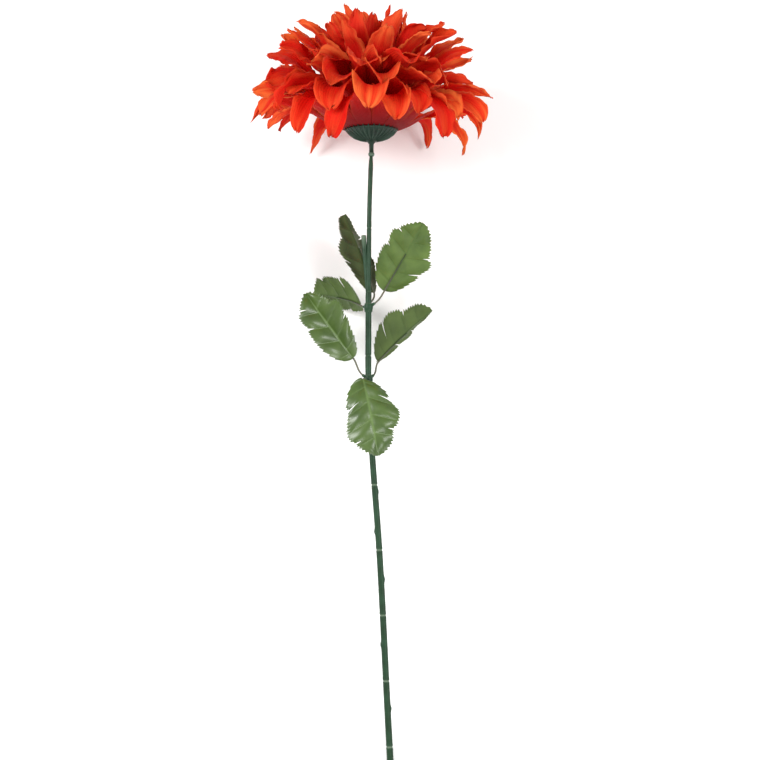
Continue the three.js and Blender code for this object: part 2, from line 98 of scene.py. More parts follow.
camera = bpy.data.objects.new("camera", bpy.data.cameras.new("camera"))
bpy.context.scene.collection.objects.link(camera)
camera.data.lens, camera.data.sensor_width = LENS, SENSOR
back = np.array([0, -math.cos(CAMERA_DOWN), math.sin(CAMERA_DOWN)])
camera.location = LOOKED_AT + CAMERA_DISTANCE * back
camera.rotation_euler = (math.pi / 2 - CAMERA_DOWN, 0, 0)
bpy.context.scene.camera = camera
print("camera at", tuple(round(v, 3) for v in camera.location))

# %% [markdown]
# ## Colours and nodes in one line each
#
# A shader tree or a geometry tree can be clicked together or written down. Written, it can be read
# from top to bottom, so one helper adds a node with its links and values in one call. Colours are
# picked as the hex codes a screen shows, and one function turns them into the linear light that the
# shaders reckon with.

# %% Helpers for nodes and colours
def linear(hex_colour):
    """An sRGB hex colour as linear RGBA."""
    parts = [int(hex_colour[i : i + 2], 16) / 255 for i in (1, 3, 5)]
    return [p / 12.92 if p <= 0.04045 else ((p + 0.055) / 1.055) ** 2.4 for p in parts] + [1.0]


def add(tree, kind, inputs=(), **settings):
    """Adds a node. inputs holds, by order or by name, sockets or nodes to link and values to set."""
    node = tree.nodes.new(kind)
    for name, value in settings.items():
        setattr(node, name, value)
    shown = [s for s in node.inputs if s.enabled]
    pairs = inputs.items() if isinstance(inputs, dict) else enumerate(inputs)
    for key, value in pairs:
        socket = shown[key] if isinstance(key, int) else next(s for s in shown if s.name == key)
        if isinstance(value, bpy.types.Node):
            value = next(s for s in value.outputs if s.enabled)
        if isinstance(value, bpy.types.NodeSocket):
            tree.links.new(value, socket)
        else:
            socket.default_value = value
    return node


def material(name):
    """A new material and its empty tree."""
    made = bpy.data.materials.new(name)
    made.use_nodes = True
    made.node_tree.nodes.clear()
    return made, made.node_tree


print("red in linear light:", [round(v, 3) for v in linear("#cf1f12")])

# %% [markdown]
# ## Floor and light
#
# A pale floor and large soft lights show satin and glossy leaves without hard edges. The two big
# lights stand left and right, as in a studio: a light straight above would be mirrored by every leaf
# that faces up and lay a grey veil on it. The left one is stronger, a third fills the calyx from the
# foot of the stem, and the white surroundings lift the shadows.

# %% Floor, lights and surroundings
FLOOR_HALF = 3.0  # metres
SURROUNDINGS = 0.5  # brightness of the white surroundings
floor_mesh = bpy.data.meshes.new("floor")
corners = [(x * FLOOR_HALF, y * FLOOR_HALF, 0) for x, y in ((-1, -1), (1, -1), (1, 1), (-1, 1))]
floor_mesh.from_pydata(corners, [], [(0, 1, 2, 3)])
floor = bpy.data.objects.new("floor", floor_mesh)
bpy.context.scene.collection.objects.link(floor)
paper, tree = material("matt white paper")
shader = add(tree, "ShaderNodeBsdfPrincipled", {"Base Color": linear("#f7f7f6"), "Roughness": 0.9})
add(tree, "ShaderNodeOutputMaterial", [shader])
floor_mesh.materials.append(paper)

world = bpy.data.worlds.new("white surroundings")
world.use_nodes = True
background = world.node_tree.nodes["Background"]
background.inputs["Color"].default_value = linear("#ffffff")
background.inputs["Strength"].default_value = SURROUNDINGS
bpy.context.scene.world = world
bpy.context.scene.view_settings.view_transform = "Standard"

LIGHTS = {  # name: (watts, width in metres, position, turn in degrees about X, Y and Z)
    "left": (31, 0.8, (-1.25, 0.35, 1.45), (-10, -41, 0)),
    "right": (22, 0.9, (1.3, 0.0, 1.5), (0, 41, 0)),
    "from_the_foot": (15, 0.9, (0.2, -1.5, 1.2), (51, 6, 0)),
}
for name, (watts, width, place, tilt) in LIGHTS.items():
    lamp = bpy.data.objects.new(name, bpy.data.lights.new(name, "AREA"))
    bpy.context.scene.collection.objects.link(lamp)
    lamp.data.energy, lamp.data.size = watts, width
    lamp.location = place
    lamp.rotation_euler = [math.radians(a) for a in tilt]
print("lights:", ", ".join(LIGHTS))

# %% [markdown]
# ## Turning points into pieces
#
# Most pieces start as arrays of points, which numpy makes quickly. One helper turns such arrays into
# a Blender mesh, and one says which plain pieces a finished piece stands for. Every piece goes
# through both, so none is forgotten.

# %% Helpers for meshes and pieces
def new_object(name, points, edges=(), faces=(), attributes=None):
    """An object from points in metres. attributes: name to one number or one vector for each point."""
    mesh = bpy.data.meshes.new(name)
    mesh.from_pydata([tuple(p) for p in np.asarray(points, float)], list(edges), list(faces))
    for key, values in (attributes or {}).items():
        values = np.asarray(values, np.float32)
        form, slot = ("FLOAT_VECTOR", "vector") if values.ndim == 2 else ("FLOAT", "value")
        mesh.attributes.new(key, form, "POINT").data.foreach_set(slot, values.ravel())
    mesh.update()
    made = bpy.data.objects.new(name, mesh)
    bpy.context.scene.collection.objects.link(made)
    return made


def evaluated(source, name):
    """The source with its modifiers applied, as a new plain object; the source is removed."""
    graph = bpy.context.evaluated_depsgraph_get()
    mesh = bpy.data.meshes.new_from_object(source.evaluated_get(graph), depsgraph=graph)
    bpy.data.objects.remove(source)
    mesh.name = name
    made = bpy.data.objects.new(name, mesh)
    bpy.context.scene.collection.objects.link(made)
    return made


def finish_piece(piece, slot, *nodes):
    """The piece rides on the flower and stands for those nodes; slot is not used."""
    piece.data.polygons.foreach_set("use_smooth", [True] * len(piece.data.polygons))
    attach(piece, "root")
    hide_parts(*nodes)
    return piece


def smooth_step(low, high, value):
    """0 below low, 1 above high, and an even curve between."""
    t = np.clip((np.asarray(value, float) - low) / (high - low), 0, 1)
    return t * t * (3 - 2 * t)


def chance(i, j, k):
    """A repeatable number from 0 to 1 for whorl i, petal j and use k."""
    return (math.sin(i * 127.1 + j * 311.7 + k * 74.7) * 43758.5453) % 1


print("a chance that never changes:", round(chance(1, 2, 3), 4))

# %% [markdown]
# ## Satin for the petals
#
# The petals are cut from white polyester satin, sprayed red from the heart and orange at the tips,
# then pressed between hot moulds. Sprayed dye is uneven, so the margin is lighter and small streaks
# follow the petal. Satin has a soft sheen, and light from behind shines through, which a Translucent
# shader mixed in gives. The underside took less of the orange and looks duller. Towards its foot each
# petal is painted darker, a painted shade for the hollow heart of the flower, darkest on the
# underside. All patterns read the petal's own "along" and "across" numbers, so they follow it however
# it bends.

# %% Petal satin
def petal_satin(name, heart, middle, margin, deep, glow):
    """Sprayed satin. heart, middle, margin: the dye's colours; deep: painted shade at the foot."""
    made, tree = material(name)
    along = add(tree, "ShaderNodeAttribute", attribute_name="along").outputs["Fac"]
    across = add(tree, "ShaderNodeAttribute", attribute_name="across").outputs["Fac"]
    tone = add(tree, "ShaderNodeAttribute", attribute_name="tone").outputs["Fac"]
    # The petal as a flat strip: across it, along it, and a different strip for each petal.
    strip = add(tree, "ShaderNodeCombineXYZ", [across, along, tone])
    stretched = add(
        tree, "ShaderNodeVectorMath", [strip, (2.6, 1.7, 31.0)], operation="MULTIPLY"
    )
    cloud = add(tree, "ShaderNodeTexNoise", {"Vector": stretched, "Scale": 1.0, "Detail": 3.0})
    brushed = add(tree, "ShaderNodeVectorMath", [strip, (17.0, 1.6, 47.0)], operation="MULTIPLY")
    streak = add(tree, "ShaderNodeTexNoise", {"Vector": brushed, "Scale": 1.0, "Detail": 2.0})
    # How far the orange of the margin reaches in. Where petals are joined there is no margin, and
    # most petals have little of it while a few are orange nearly to the heart.
    side = add(tree, "ShaderNodeMath", [across], operation="ABSOLUTE")
    edge = add(
        tree, "ShaderNodeMapRange", [side, 0.55, 1.0, 0.0, 1.0], interpolation_type="SMOOTHSTEP"
    )
    tip = add(
        tree, "ShaderNodeMapRange", [along, 0.70, 1.02, 0.0, 1.0], interpolation_type="SMOOTHSTEP"
    )
    foot = add(
        tree, "ShaderNodeMapRange", [along, 0.22, 0.6, 0.0, 1.0], interpolation_type="SMOOTHSTEP"
    )
    edge = add(tree, "ShaderNodeMath", [edge, foot], operation="MULTIPLY")
    rim = add(tree, "ShaderNodeMath", [edge, tip], operation="MAXIMUM")
    uneven = add(tree, "ShaderNodeMapRange", [cloud, 0.35, 0.68, 0.2, 1.2])
    rim = add(tree, "ShaderNodeMath", [rim, uneven], operation="MULTIPLY")
    each = add(tree, "ShaderNodeMath", [tone, 1.8], operation="POWER")
    each = add(tree, "ShaderNodeMapRange", [each, 0.0, 1.0, 0.3, 1.7])
    rim = add(tree, "ShaderNodeMath", [rim, each], operation="MULTIPLY", use_clamp=True)
    lively = add(tree, "ShaderNodeMapRange", [streak, 0.3, 0.75, 0.0, 0.75])
    base = add(
        tree,
        "ShaderNodeMix",
        {"Factor": lively, "A": linear(heart), "B": linear(middle)},
        data_type="RGBA",
    )
    # Towards the foot the red turns to deep: painted shade for the hollow heart of the flower.
    base = add(
        tree, "ShaderNodeMix", {"Factor": foot, "A": linear(deep), "B": base}, data_type="RGBA"
    )
    colour = add(
        tree, "ShaderNodeMix", {"Factor": rim, "A": base, "B": linear(margin)}, data_type="RGBA"
    )
    # Pressed pleats along the petal, nearly 2 mm apart, under a satin weave drawn three times as
    # coarse as the real thread of 0.15 mm so that it shows.
    place = add(tree, "ShaderNodeTexCoord").outputs["Object"]
    weave = add(tree, "ShaderNodeTexNoise", {"Vector": place, "Scale": 2200.0, "Detail": 1.0})
    pressed = add(tree, "ShaderNodeMath", [across, 46.0], operation="MULTIPLY")
    pressed = add(tree, "ShaderNodeMath", [pressed], operation="SINE")
    bump = add(
        tree, "ShaderNodeBump", {"Strength": 0.32, "Distance": 0.0004, "Height": pressed}
    )
    bump = add(
        tree,
        "ShaderNodeBump",
        {"Strength": 0.25, "Distance": 0.0002, "Height": weave, "Normal": bump},
    )
    cloth = add(
        tree,
        "ShaderNodeBsdfPrincipled",
        {
            "Base Color": colour,
            "Roughness": 0.62,
            "IOR": 1.45,
            "Specular IOR Level": 0.14,
            "Sheen Weight": 0.12,
            "Sheen Roughness": 0.4,
            "Sheen Tint": linear("#ff9a80"),
            "Normal": bump,
        },
    )
    through = add(tree, "ShaderNodeBsdfTranslucent", {"Color": colour, "Normal": bump})
    both = add(tree, "ShaderNodeMixShader", [glow, cloth, through])
    add(tree, "ShaderNodeOutputMaterial", [both])
    return made


# The fourth colour is painted shade at each petal's foot; on the underside it is a dark maroon.
satin_face = petal_satin(
    "sprayed satin, upper face", "#e00f0b", "#ea2312", "#f8803e", "#cc0b09", 0.42
)
satin_back = petal_satin(
    "sprayed satin, underside", "#dc1511", "#e62818", "#f47a40", "#94151c", 0.42
)
print("satin:", satin_face.name, "and", satin_back.name)

# %% [markdown]
# ## One tree that skins every petal
#
# A whorl repeats one petal, so Geometry Nodes make it. Python draws only a midrib for each petal: a
# row of points that carry how far the cloth reaches to the side, how it bows and where it is pleated.
# The tree puts a grid on each midrib, and every grid point finds its own midrib point by its index.
# Instancing one finished petal would be quicker, but then all petals would be the same. The tree's
# numbers, such as the count of pleats, stay open as inputs.

# %% Starting a tree
WEB_ROWS, BLADE_ROWS = 6, 32
ROWS = WEB_ROWS + BLADE_ROWS
COLUMNS = 15


def new_tree(name, inputs):
    """A Geometry Nodes tree with a geometry in and out and the named inputs, and its two ends."""
    tree = bpy.data.node_groups.new(name, "GeometryNodeTree")
    tree.interface.new_socket("Geometry", in_out="INPUT", socket_type="NodeSocketGeometry")
    for key, form in inputs.items():
        tree.interface.new_socket(key, in_out="INPUT", socket_type="NodeSocket" + form)
    tree.interface.new_socket("Geometry", in_out="OUTPUT", socket_type="NodeSocketGeometry")
    return tree, add(tree, "NodeGroupInput").outputs


def run_tree(source, tree, values):
    """Puts the tree on the source with its inputs set by the sockets' identifiers."""
    modifier = source.modifiers.new(tree.name, "NODES")
    modifier.node_group = tree
    for item in tree.interface.items_tree:
        if item.in_out == "INPUT" and item.name in values:
            modifier[item.identifier] = values[item.name]
    return modifier


print("rows and columns of a petal's grid:", ROWS, COLUMNS)

# %% [markdown]
# ## A grid for each petal
#
# One grid is instanced once for each petal and made real. After that nothing says which petal a
# point came from except its index, so the index is divided up: first into petals, then into columns
# and rows. Row and petal together name the midrib point that this grid point belongs to.

# %% The petal tree: grids and their numbering
petal_tree, given = new_tree(
    "skin the petals",
    {
        "Petals": "Int",
        "Rows": "Int",
        "Columns": "Int",
        "Pleats": "Float",
        "Crumple": "Float",
        "Ruffle": "Float",
        "Fray": "Float",
        "Seed": "Float",
        "Satin": "Material",
    },
)
t = petal_tree
midribs = given["Geometry"]
grid = add(t, "GeometryNodeMeshGrid", [1.0, 1.0, given["Columns"], given["Rows"]])
spots = add(t, "GeometryNodePoints", [given["Petals"]])
copies = add(t, "GeometryNodeInstanceOnPoints", {"Points": spots, "Instance": grid})
cloth = add(t, "GeometryNodeRealizeInstances", [copies])
# Which petal, column and row a point belongs to.
index = add(t, "GeometryNodeInputIndex")
each = add(t, "FunctionNodeIntegerMath", [given["Columns"], given["Rows"]], operation="MULTIPLY")
petal = add(t, "FunctionNodeIntegerMath", [index, each], operation="DIVIDE_FLOOR")
inside = add(t, "FunctionNodeIntegerMath", [index, each], operation="MODULO")
column = add(t, "FunctionNodeIntegerMath", [inside, given["Rows"]], operation="DIVIDE_FLOOR")
row = add(t, "FunctionNodeIntegerMath", [inside, given["Rows"]], operation="MODULO")
source = add(t, "FunctionNodeIntegerMath", [petal, given["Rows"], row], operation="MULTIPLY_ADD")
last = add(t, "ShaderNodeMath", [given["Columns"], 1.0], operation="SUBTRACT")
across = add(t, "ShaderNodeMapRange", [column, 0.0, last, 1.0, -1.0])
squared = add(t, "ShaderNodeMath", [across, across], operation="MULTIPLY")
print("petal tree so far:", len(t.nodes), "nodes")

# %% [markdown]
# ## Asking the midrib
#
# Sample Index reads a value of another geometry at an index, here of the midribs. That is how each
# row finds its place and the four vectors that spread it: reach to the side, bow of a cupped petal,
# lift for the waves, and tooth for the torn end.

# %% The petal tree: what the midrib says at that row
place = add(t, "GeometryNodeInputPosition")
found = {
    "place": add(t, "GeometryNodeSampleIndex", [midribs, place, source], data_type="FLOAT_VECTOR")
}
for key in ("reach", "bow", "lift", "tooth"):
    value = add(t, "GeometryNodeInputNamedAttribute", [key], data_type="FLOAT_VECTOR")
    found[key] = add(
        t, "GeometryNodeSampleIndex", [midribs, value, source], data_type="FLOAT_VECTOR"
    )
for key in ("along", "tone"):
    value = add(t, "GeometryNodeInputNamedAttribute", [key], data_type="FLOAT")
    found[key] = add(t, "GeometryNodeSampleIndex", [midribs, value, source], data_type="FLOAT")
print("read from the midrib:", ", ".join(found))

# %% [markdown]
# ## Pleats, crumples, ruffles and frays
#
# Four unevennesses are added as lengths, in millimetres. Pleats are a cosine across the petal,
# crumples a soft noise over all of it, ruffles a finer noise that grows towards the margins, and the
# frayed end a sharper noise along the petal. The seed and the petal's number shift every noise, so
# that no two petals match and each run gives the same ones.

# %% The petal tree: unevenness
petal_shift = add(t, "ShaderNodeMath", [petal, 7.31, given["Seed"]], operation="MULTIPLY_ADD")
soft_at = add(t, "ShaderNodeCombineXYZ", [across, found["along"], petal_shift])
soft_at = add(t, "ShaderNodeVectorMath", [soft_at, (1.0, 5.0, 1.0)], operation="MULTIPLY")
cloud = add(t, "ShaderNodeTexNoise", {"Vector": soft_at, "Scale": 1.0, "Detail": 1.0})
cloud = add(t, "ShaderNodeMapRange", [cloud, 0.0, 1.0, -1.0, 1.0])
cloud = add(t, "ShaderNodeMath", [cloud, given["Crumple"]], operation="MULTIPLY")
# The ruffle has waves of about 15 mm and grows towards the margins.
fine_at = add(t, "ShaderNodeVectorMath", [soft_at, (1.6, 2.6, 3.0)], operation="MULTIPLY")
fine = add(t, "ShaderNodeTexNoise", {"Vector": fine_at, "Scale": 1.0, "Detail": 1.0})
fine = add(t, "ShaderNodeMapRange", [fine, 0.25, 0.75, -1.0, 1.0])
fine = add(t, "ShaderNodeMath", [fine, given["Ruffle"]], operation="MULTIPLY")
cloud = add(t, "ShaderNodeMath", [fine, squared, cloud], operation="MULTIPLY_ADD")
angle = add(t, "ShaderNodeMath", [across, given["Pleats"]], operation="MULTIPLY")
angle = add(t, "ShaderNodeMath", [angle, math.pi], operation="MULTIPLY")
pleat = add(t, "ShaderNodeMath", [angle], operation="COSINE")
waves = add(t, "ShaderNodeMath", [pleat, 0.35, cloud], operation="MULTIPLY_ADD")
sharp = add(t, "ShaderNodeMath", [across, 4.7], operation="MULTIPLY")
teeth_at = add(t, "ShaderNodeCombineXYZ", [sharp, 0.0, petal_shift])
teeth = add(t, "ShaderNodeTexNoise", {"Vector": teeth_at, "Scale": 1.0, "Detail": 2.0})
teeth = add(t, "ShaderNodeMapRange", [teeth, 0.3, 0.7, -1.0, 1.0])
teeth = add(t, "ShaderNodeMath", [teeth, given["Fray"]], operation="MULTIPLY")
print("petal tree so far:", len(t.nodes), "nodes")

# %% [markdown]
# ## The finished point
#
# Everything is summed into one position: the midrib, the reach to the side, the bow, the waves and
# the torn end. The shader needs to know where on the petal it is, so along, across and tone are
# stored. Points that meet, in the joined web, are merged so that it becomes one sheet.

# %% The petal tree: place, store, merge
spot = add(
    t,
    "ShaderNodeVectorMath",
    [found["reach"], across, found["place"]],
    operation="MULTIPLY_ADD",
)
spot = add(t, "ShaderNodeVectorMath", [found["bow"], squared, spot], operation="MULTIPLY_ADD")
spot = add(t, "ShaderNodeVectorMath", [found["lift"], waves, spot], operation="MULTIPLY_ADD")
spot = add(t, "ShaderNodeVectorMath", [found["tooth"], teeth, spot], operation="MULTIPLY_ADD")
cloth = add(t, "GeometryNodeSetPosition", {"Geometry": cloth, "Position": spot})
for key, value in (("along", found["along"]), ("tone", found["tone"]), ("across", across)):
    cloth = add(
        t,
        "GeometryNodeStoreNamedAttribute",
        {"Geometry": cloth, "Name": key, "Value": value},
        data_type="FLOAT",
        domain="POINT",
    )
cloth = add(t, "GeometryNodeMergeByDistance", {"Geometry": cloth, "Distance": 0.00003})
cloth = add(t, "GeometryNodeSetMaterial", {"Geometry": cloth, "Material": given["Satin"]})
add(t, "NodeGroupOutput", [cloth])
print("petal tree:", len(t.nodes), "nodes")

# %% [markdown]
# ## The midribs
#
# A petal leaves the flat disc on the peg, climbs in a cone where it is still joined to its
# neighbours, then goes its own way: it droops or curls, sways to one side and twists. We walk along
# it in small steps and add up its slope, which keeps its length true. Petals near the surface the
# flower lies on bend until they clear it, which a short search finds.

# %% The whorls as they are cut and pressed
# From the calyx up. petals; length from the axis to the tip; slope in degrees at the disc, at a
# third of the length and at the tip; widest width; how far from the axis the petals stay joined;
# and in degrees how much further the tips flop over on the side that lies on top.
WHORLS = [
    (14, 122, (10, 33, -50), 27, 40, 30),
    (14, 121, (16, 37, -30), 27, 38, 48),
    (13, 118, (22, 42, -16), 27, 35, 54),
    (13, 116, (30, 49, 8), 27, 32, 60),
    (12, 112, (39, 54, 24), 27, 29, 60),
    (11, 109, (48, 60, 38), 27, 26, 34),
    (10, 104, (58, 66, 48), 27, 23, 12),
    (9, 97, (67, 73, 58), 26, 20, 0),
    (7, 91, (76, 79, 70), 25, 18, 0),
    (5, 87, (83, 85, 80), 23, 16, 0),
]
HOLE_R = 2.9
FIRST_LAYER, LAYER_PITCH = 8.2, 3.2
CLOTH = 0.4  # thickness in millimetres; the real satin is 0.2
CLEAR, CLEAR_STEP = 2.0, 1.2  # millimetres over the surface: the lowest whorl, and more for each next
FOLD_MOST = 130  # degrees that a petal may be pushed up
FOLD_TRIES = 14  # halvings of the search for the smallest push
FLATTENED = 0.3  # share of its curl and cup that a pushed petal keeps
WALK_STEPS = 240  # steps along a petal when its slope is added up
STEEPEST = 0.35  # share of its length at which a petal has its middle slope


def disc_radius(level):
    """Radius of the flat middle of the whorl at that level."""
    return 5.5 + 0.85 * (len(WHORLS) - 1 - level)


def outline(q, point):
    """Half a petal's width, as a share of its widest, from the web (0) to the tip (1).

    point mixes a round end (0) with a pointed one (1).
    """
    grow = 0.66 + 0.34 * smooth_step(0.0, 0.5, q)
    round_end = np.sqrt(np.clip(1 - np.clip((q - 0.66) / 0.345, 0, 1) ** 2.3, 0, 1))
    sharp_end = 1 - np.clip((q - 0.42) / 0.585, 0, 1) ** 1.7
    return grow * np.maximum((1 - point) * round_end + point * sharp_end, 0.05)


def midrib(level, azimuth, manner):
    """A petal's rows: where they are and how the cloth lies there, standing, in millimetres.

    manner holds what sets this petal apart: bend, curl, wave, sway, twist and cup in degrees, and
    size, width and point as shares.
    """
    count, length, rise, width, web, _ = WHORLS[level]
    length = web + (length - web) * manner["size"]
    flat, half = disc_radius(level), math.pi / count
    steps = np.linspace(0, length, WALK_STEPS + 1)
    middle = (steps[1:] + steps[:-1]) / 2
    t = np.clip((middle - flat) / (length - flat), 0, 1)
    slope = np.where(
        t < STEEPEST,
        rise[0] + (rise[1] - rise[0]) * smooth_step(0, STEEPEST, t),
        rise[1] + (rise[2] - rise[1]) * smooth_step(STEEPEST, 1, t),
    )
    q = np.clip((middle - web) / (length - web), 0, 1)
    slope += manner["bend"] * q**1.4 + manner["curl"] * smooth_step(0.6, 1, q)
    slope += manner["wave"] * np.sin(2 * math.pi * (1.4 * q + manner["size"] * 7)) * q
    slope = np.radians(np.where(middle < flat, 0, slope))
    sway = np.radians(manner["sway"] * q)
    step = length / WALK_STEPS

    def total(values):
        return np.concatenate([[0], np.cumsum(values)]) * step

    radius = total(np.cos(slope) * np.cos(sway))
    height = total(np.sin(slope) * np.cos(sway))
    drift = total(np.sin(sway))

    u = np.linspace(0, 1, BLADE_ROWS + 1)[1:]
    rows = np.concatenate(
        [
            np.linspace(HOLE_R, flat, 2),
            np.linspace(flat, web, WEB_ROWS - 1)[1:],
            web + (length - web) * (1 - (1 - u) ** 1.25),
        ]
    )
    r, h, side = (np.interp(rows, steps, line) for line in (radius, height, drift))
    e = np.interp(rows, middle, slope)
    s = np.interp(rows, middle, sway)
    q = np.clip((rows - web) / (length - web), 0, 1)
    free = smooth_step(0, 0.2, q)[:, None]  # 0 where petals are joined, 1 where this one is alone

    out = np.array([math.cos(azimuth), math.sin(azimuth), 0])
    beside = np.array([-math.sin(azimuth), math.cos(azimuth), 0])
    up = np.array([0, 0, 1.0])
    ahead = np.cos(s)[:, None] * (np.cos(e)[:, None] * out + np.sin(e)[:, None] * up)
    ahead = ahead + np.sin(s)[:, None] * beside
    face = np.cos(e)[:, None] * up - np.sin(e)[:, None] * out
    twist = np.radians(manner["twist"] * smooth_step(0, 0.9, q))[:, None]
    flank = np.cross(face, ahead)
    flank, face = (
        np.cos(twist) * flank + np.sin(twist) * face,
        np.cos(twist) * face - np.sin(twist) * flank,
    )
    place = HEAD_AT + r[:, None] * out + side[:, None] * beside
    place = place + (h[:, None] + FIRST_LAYER + LAYER_PITCH * level) * up
    alone = width * manner["width"] / 2 * outline(q, manner["point"])
    cup = math.radians(manner["cup"])
    joined = (r * math.sin(half))[:, None]
    reach = (1 - free) * joined * beside + free * (alone * math.cos(0.75 * cup))[:, None] * flank
    sag = (r * (math.cos(half) - 1))[:, None] * out  # keeps the joined part round
    bow = (1 - free) * sag + free * (alone * math.sin(cup))[:, None] * face
    lift = free * face * smooth_step(0, 0.4, q)[:, None]
    tooth = ahead * smooth_step(0.8, 1, q)[:, None]
    return {
        "place": place,
        "reach": reach,
        "bow": bow,
        "lift": lift,
        "tooth": tooth,
        "along": np.clip(rows / length, 0, 1),
    }


def lowest(rib):
    """Height over the surface of the lowest point of a petal's edges and middle, in millimetres."""
    sides = [rib["place"] + v * rib["reach"] + v * v * rib["bow"] for v in (-1, -0.5, 0, 0.5, 1)]
    return min(lie(s)[WEB_ROWS:, 2].min() for s in sides) * 1000


def rested_midrib(level, azimuth, manner):
    """The midrib, pushed up towards the flower's middle if the petal would pass the surface."""
    need = CLEAR + CLEAR_STEP * level
    rib = midrib(level, azimuth, manner)
    if lowest(rib) >= need:
        return rib
    manner = {**manner, "curl": FLATTENED * manner["curl"], "cup": FLATTENED * manner["cup"]}
    asked, safe = manner["bend"], manner["bend"] + FOLD_MOST
    for _ in range(FOLD_TRIES):
        middle = (asked + safe) / 2
        if lowest(midrib(level, azimuth, {**manner, "bend": middle})) >= need:
            safe = middle
        else:
            asked = middle
    return midrib(level, azimuth, {**manner, "bend": safe})


print("petals in all:", sum(w[0] for w in WHORLS))

# %% [markdown]
# ## The flower head
#
# No two petals of a silk flower end up alike, because they are opened by hand. Each one gets its own
# small random manner, and a few at the front are set one by one, because their places decide how the
# flower reads from this side.

# %% How each petal is opened
SPREAD = [26, 24, 22, 20, 18, 16, 14, 12, 10, 9]  # how unevenly each whorl is opened, in degrees
EDGE_ON = {"width": 0.6, "point": 1.0, "cup": 15}  # a slim petal, turned on its edge by its twist
SET_BY_HAND = {  # (level, petal): the parts of its manner that are set one by one
    (0, 0): {**EDGE_ON, "bend": -34, "twist": 75, "size": 1.05, "curl": -8},
    (0, 1): {**EDGE_ON, "bend": -44, "twist": 75, "size": 1.02, "curl": -10},
    (0, 2): {"bend": 6, "sway": 16, "width": 0.75, "point": 0.9, "curl": -35},
    (0, 5): {**EDGE_ON, "bend": -22, "twist": 80, "size": 0.98, "sway": -8},
    (0, 6): {"bend": 18, "curl": 0},
    (0, 7): {**EDGE_ON, "bend": 20, "twist": 75, "size": 1.08, "curl": -20},
    (0, 8): {"bend": 16, "size": 1.0, "point": 0.1},
    (0, 9): {"bend": -58, "curl": 20, "sway": -18, "point": 0.1, "size": 0.95},
    (0, 10): {"bend": -98, "curl": -10, "sway": -26, "twist": 10, "size": 1.08, "cup": 25},
    (0, 11): {"bend": -36, "curl": 10, "sway": 2, "width": 1.25, "point": 0.2, "cup": 30},
    (0, 12): {"bend": -62, "curl": 5, "sway": 14, "size": 1.05, "width": 1.05},
    (0, 13): {"bend": -16, "curl": 8, "sway": 6, "twist": 40, "size": 1.04, "point": 0.0},
    (1, 7): {"bend": 14, "curl": -10, "twist": -55, "size": 1.0, "width": 1.1, "point": 0.0},
    (1, 9): {"bend": -54, "curl": 20, "sway": 10, "width": 1.35, "point": 0.1, "cup": 30},
    (1, 10): {"bend": -58, "curl": 25, "sway": -3, "width": 1.4, "cup": 32, "point": 0.1, "size": 1.06},
    (1, 11): {"bend": -56, "curl": 10, "width": 1.3, "point": 0.2, "cup": 30, "twist": -10},
    (1, 12): {"bend": -58, "curl": 15, "width": 1.1},
    (1, 13): {**EDGE_ON, "bend": -6, "twist": 75, "size": 1.06, "curl": 10},
    (2, 7): {"bend": 4, "curl": -5, "twist": -60, "width": 1.3, "cup": 8, "point": 0.1},
    (2, 8): {"bend": -40, "curl": 15, "twist": -30, "width": 1.3, "cup": 35, "point": 0.1},
    (2, 9): {"bend": -40, "curl": 25, "width": 1.4, "sway": -2, "cup": 45, "point": 0.0},
    (2, 10): {"bend": -38, "curl": 20, "width": 1.4, "sway": -2, "cup": 40, "point": 0.1},
    (2, 11): {"bend": -28, "curl": 10, "width": 1.3, "point": 0.1, "cup": 35},
    (3, 0): {"bend": 12, "curl": 0, "size": 1.06, "twist": 40, "sway": 0},
    (3, 6): {"bend": 12, "curl": 0, "size": 1.06, "twist": -40, "sway": 0},
    (3, 7): {"bend": 6, "curl": -5, "size": 1.04, "twist": -50, "width": 1.2},
    (3, 8): {"bend": -34, "curl": 10, "width": 1.25, "cup": 40, "point": 0.1},
    (3, 9): {"bend": -46, "curl": 20, "width": 1.3, "sway": 2, "cup": 30, "point": 0.0},
    (3, 10): {"bend": -38, "curl": 15, "width": 1.3, "sway": 2, "cup": 32, "point": 0.1},
    (3, 12): {"bend": 6, "curl": -5, "size": 1.04, "twist": 50, "width": 1.2},
    (4, 0): {"bend": 14, "curl": 0, "size": 1.08, "twist": 35, "sway": 0},
    (4, 1): {"bend": 10, "curl": 0, "size": 1.06, "twist": 35, "sway": 0},
    (4, 5): {"bend": 10, "curl": 0, "size": 1.06, "twist": -35, "sway": 0},
    (4, 6): {"bend": 14, "curl": 0, "size": 1.08, "twist": -35, "sway": 0},
    (4, 7): {"bend": 12, "curl": -5, "size": 1.06, "twist": -45, "width": 1.2},
    (4, 11): {"bend": 12, "curl": -5, "size": 1.06, "twist": 45, "width": 1.2},
    (5, 0): {"bend": 6, "curl": 0, "size": 1.06, "twist": 30, "sway": 0},
    (5, 5): {"bend": 6, "curl": 0, "size": 1.06, "twist": -30, "sway": 0},
    (5, 6): {"bend": 4, "curl": -5, "size": 1.06, "twist": -35, "width": 1.1},
    (5, 10): {"bend": 4, "curl": -5, "size": 1.06, "twist": 35, "width": 1.1},
    (8, 4): {"bend": -4, "curl": 0, "size": 1.12, "point": 0.7, "width": 0.9},
    (9, 4): {"width": 0.4, "point": 0.9, "bend": 0, "curl": 0, "size": 1.14, "twist": 40},
}


def azimuth_of(level, petal):
    """Direction of a petal round the axis, in radians; every other whorl is turned by half a petal."""
    return 2 * math.pi / WHORLS[level][0] * (petal + 0.5 * (level % 2))


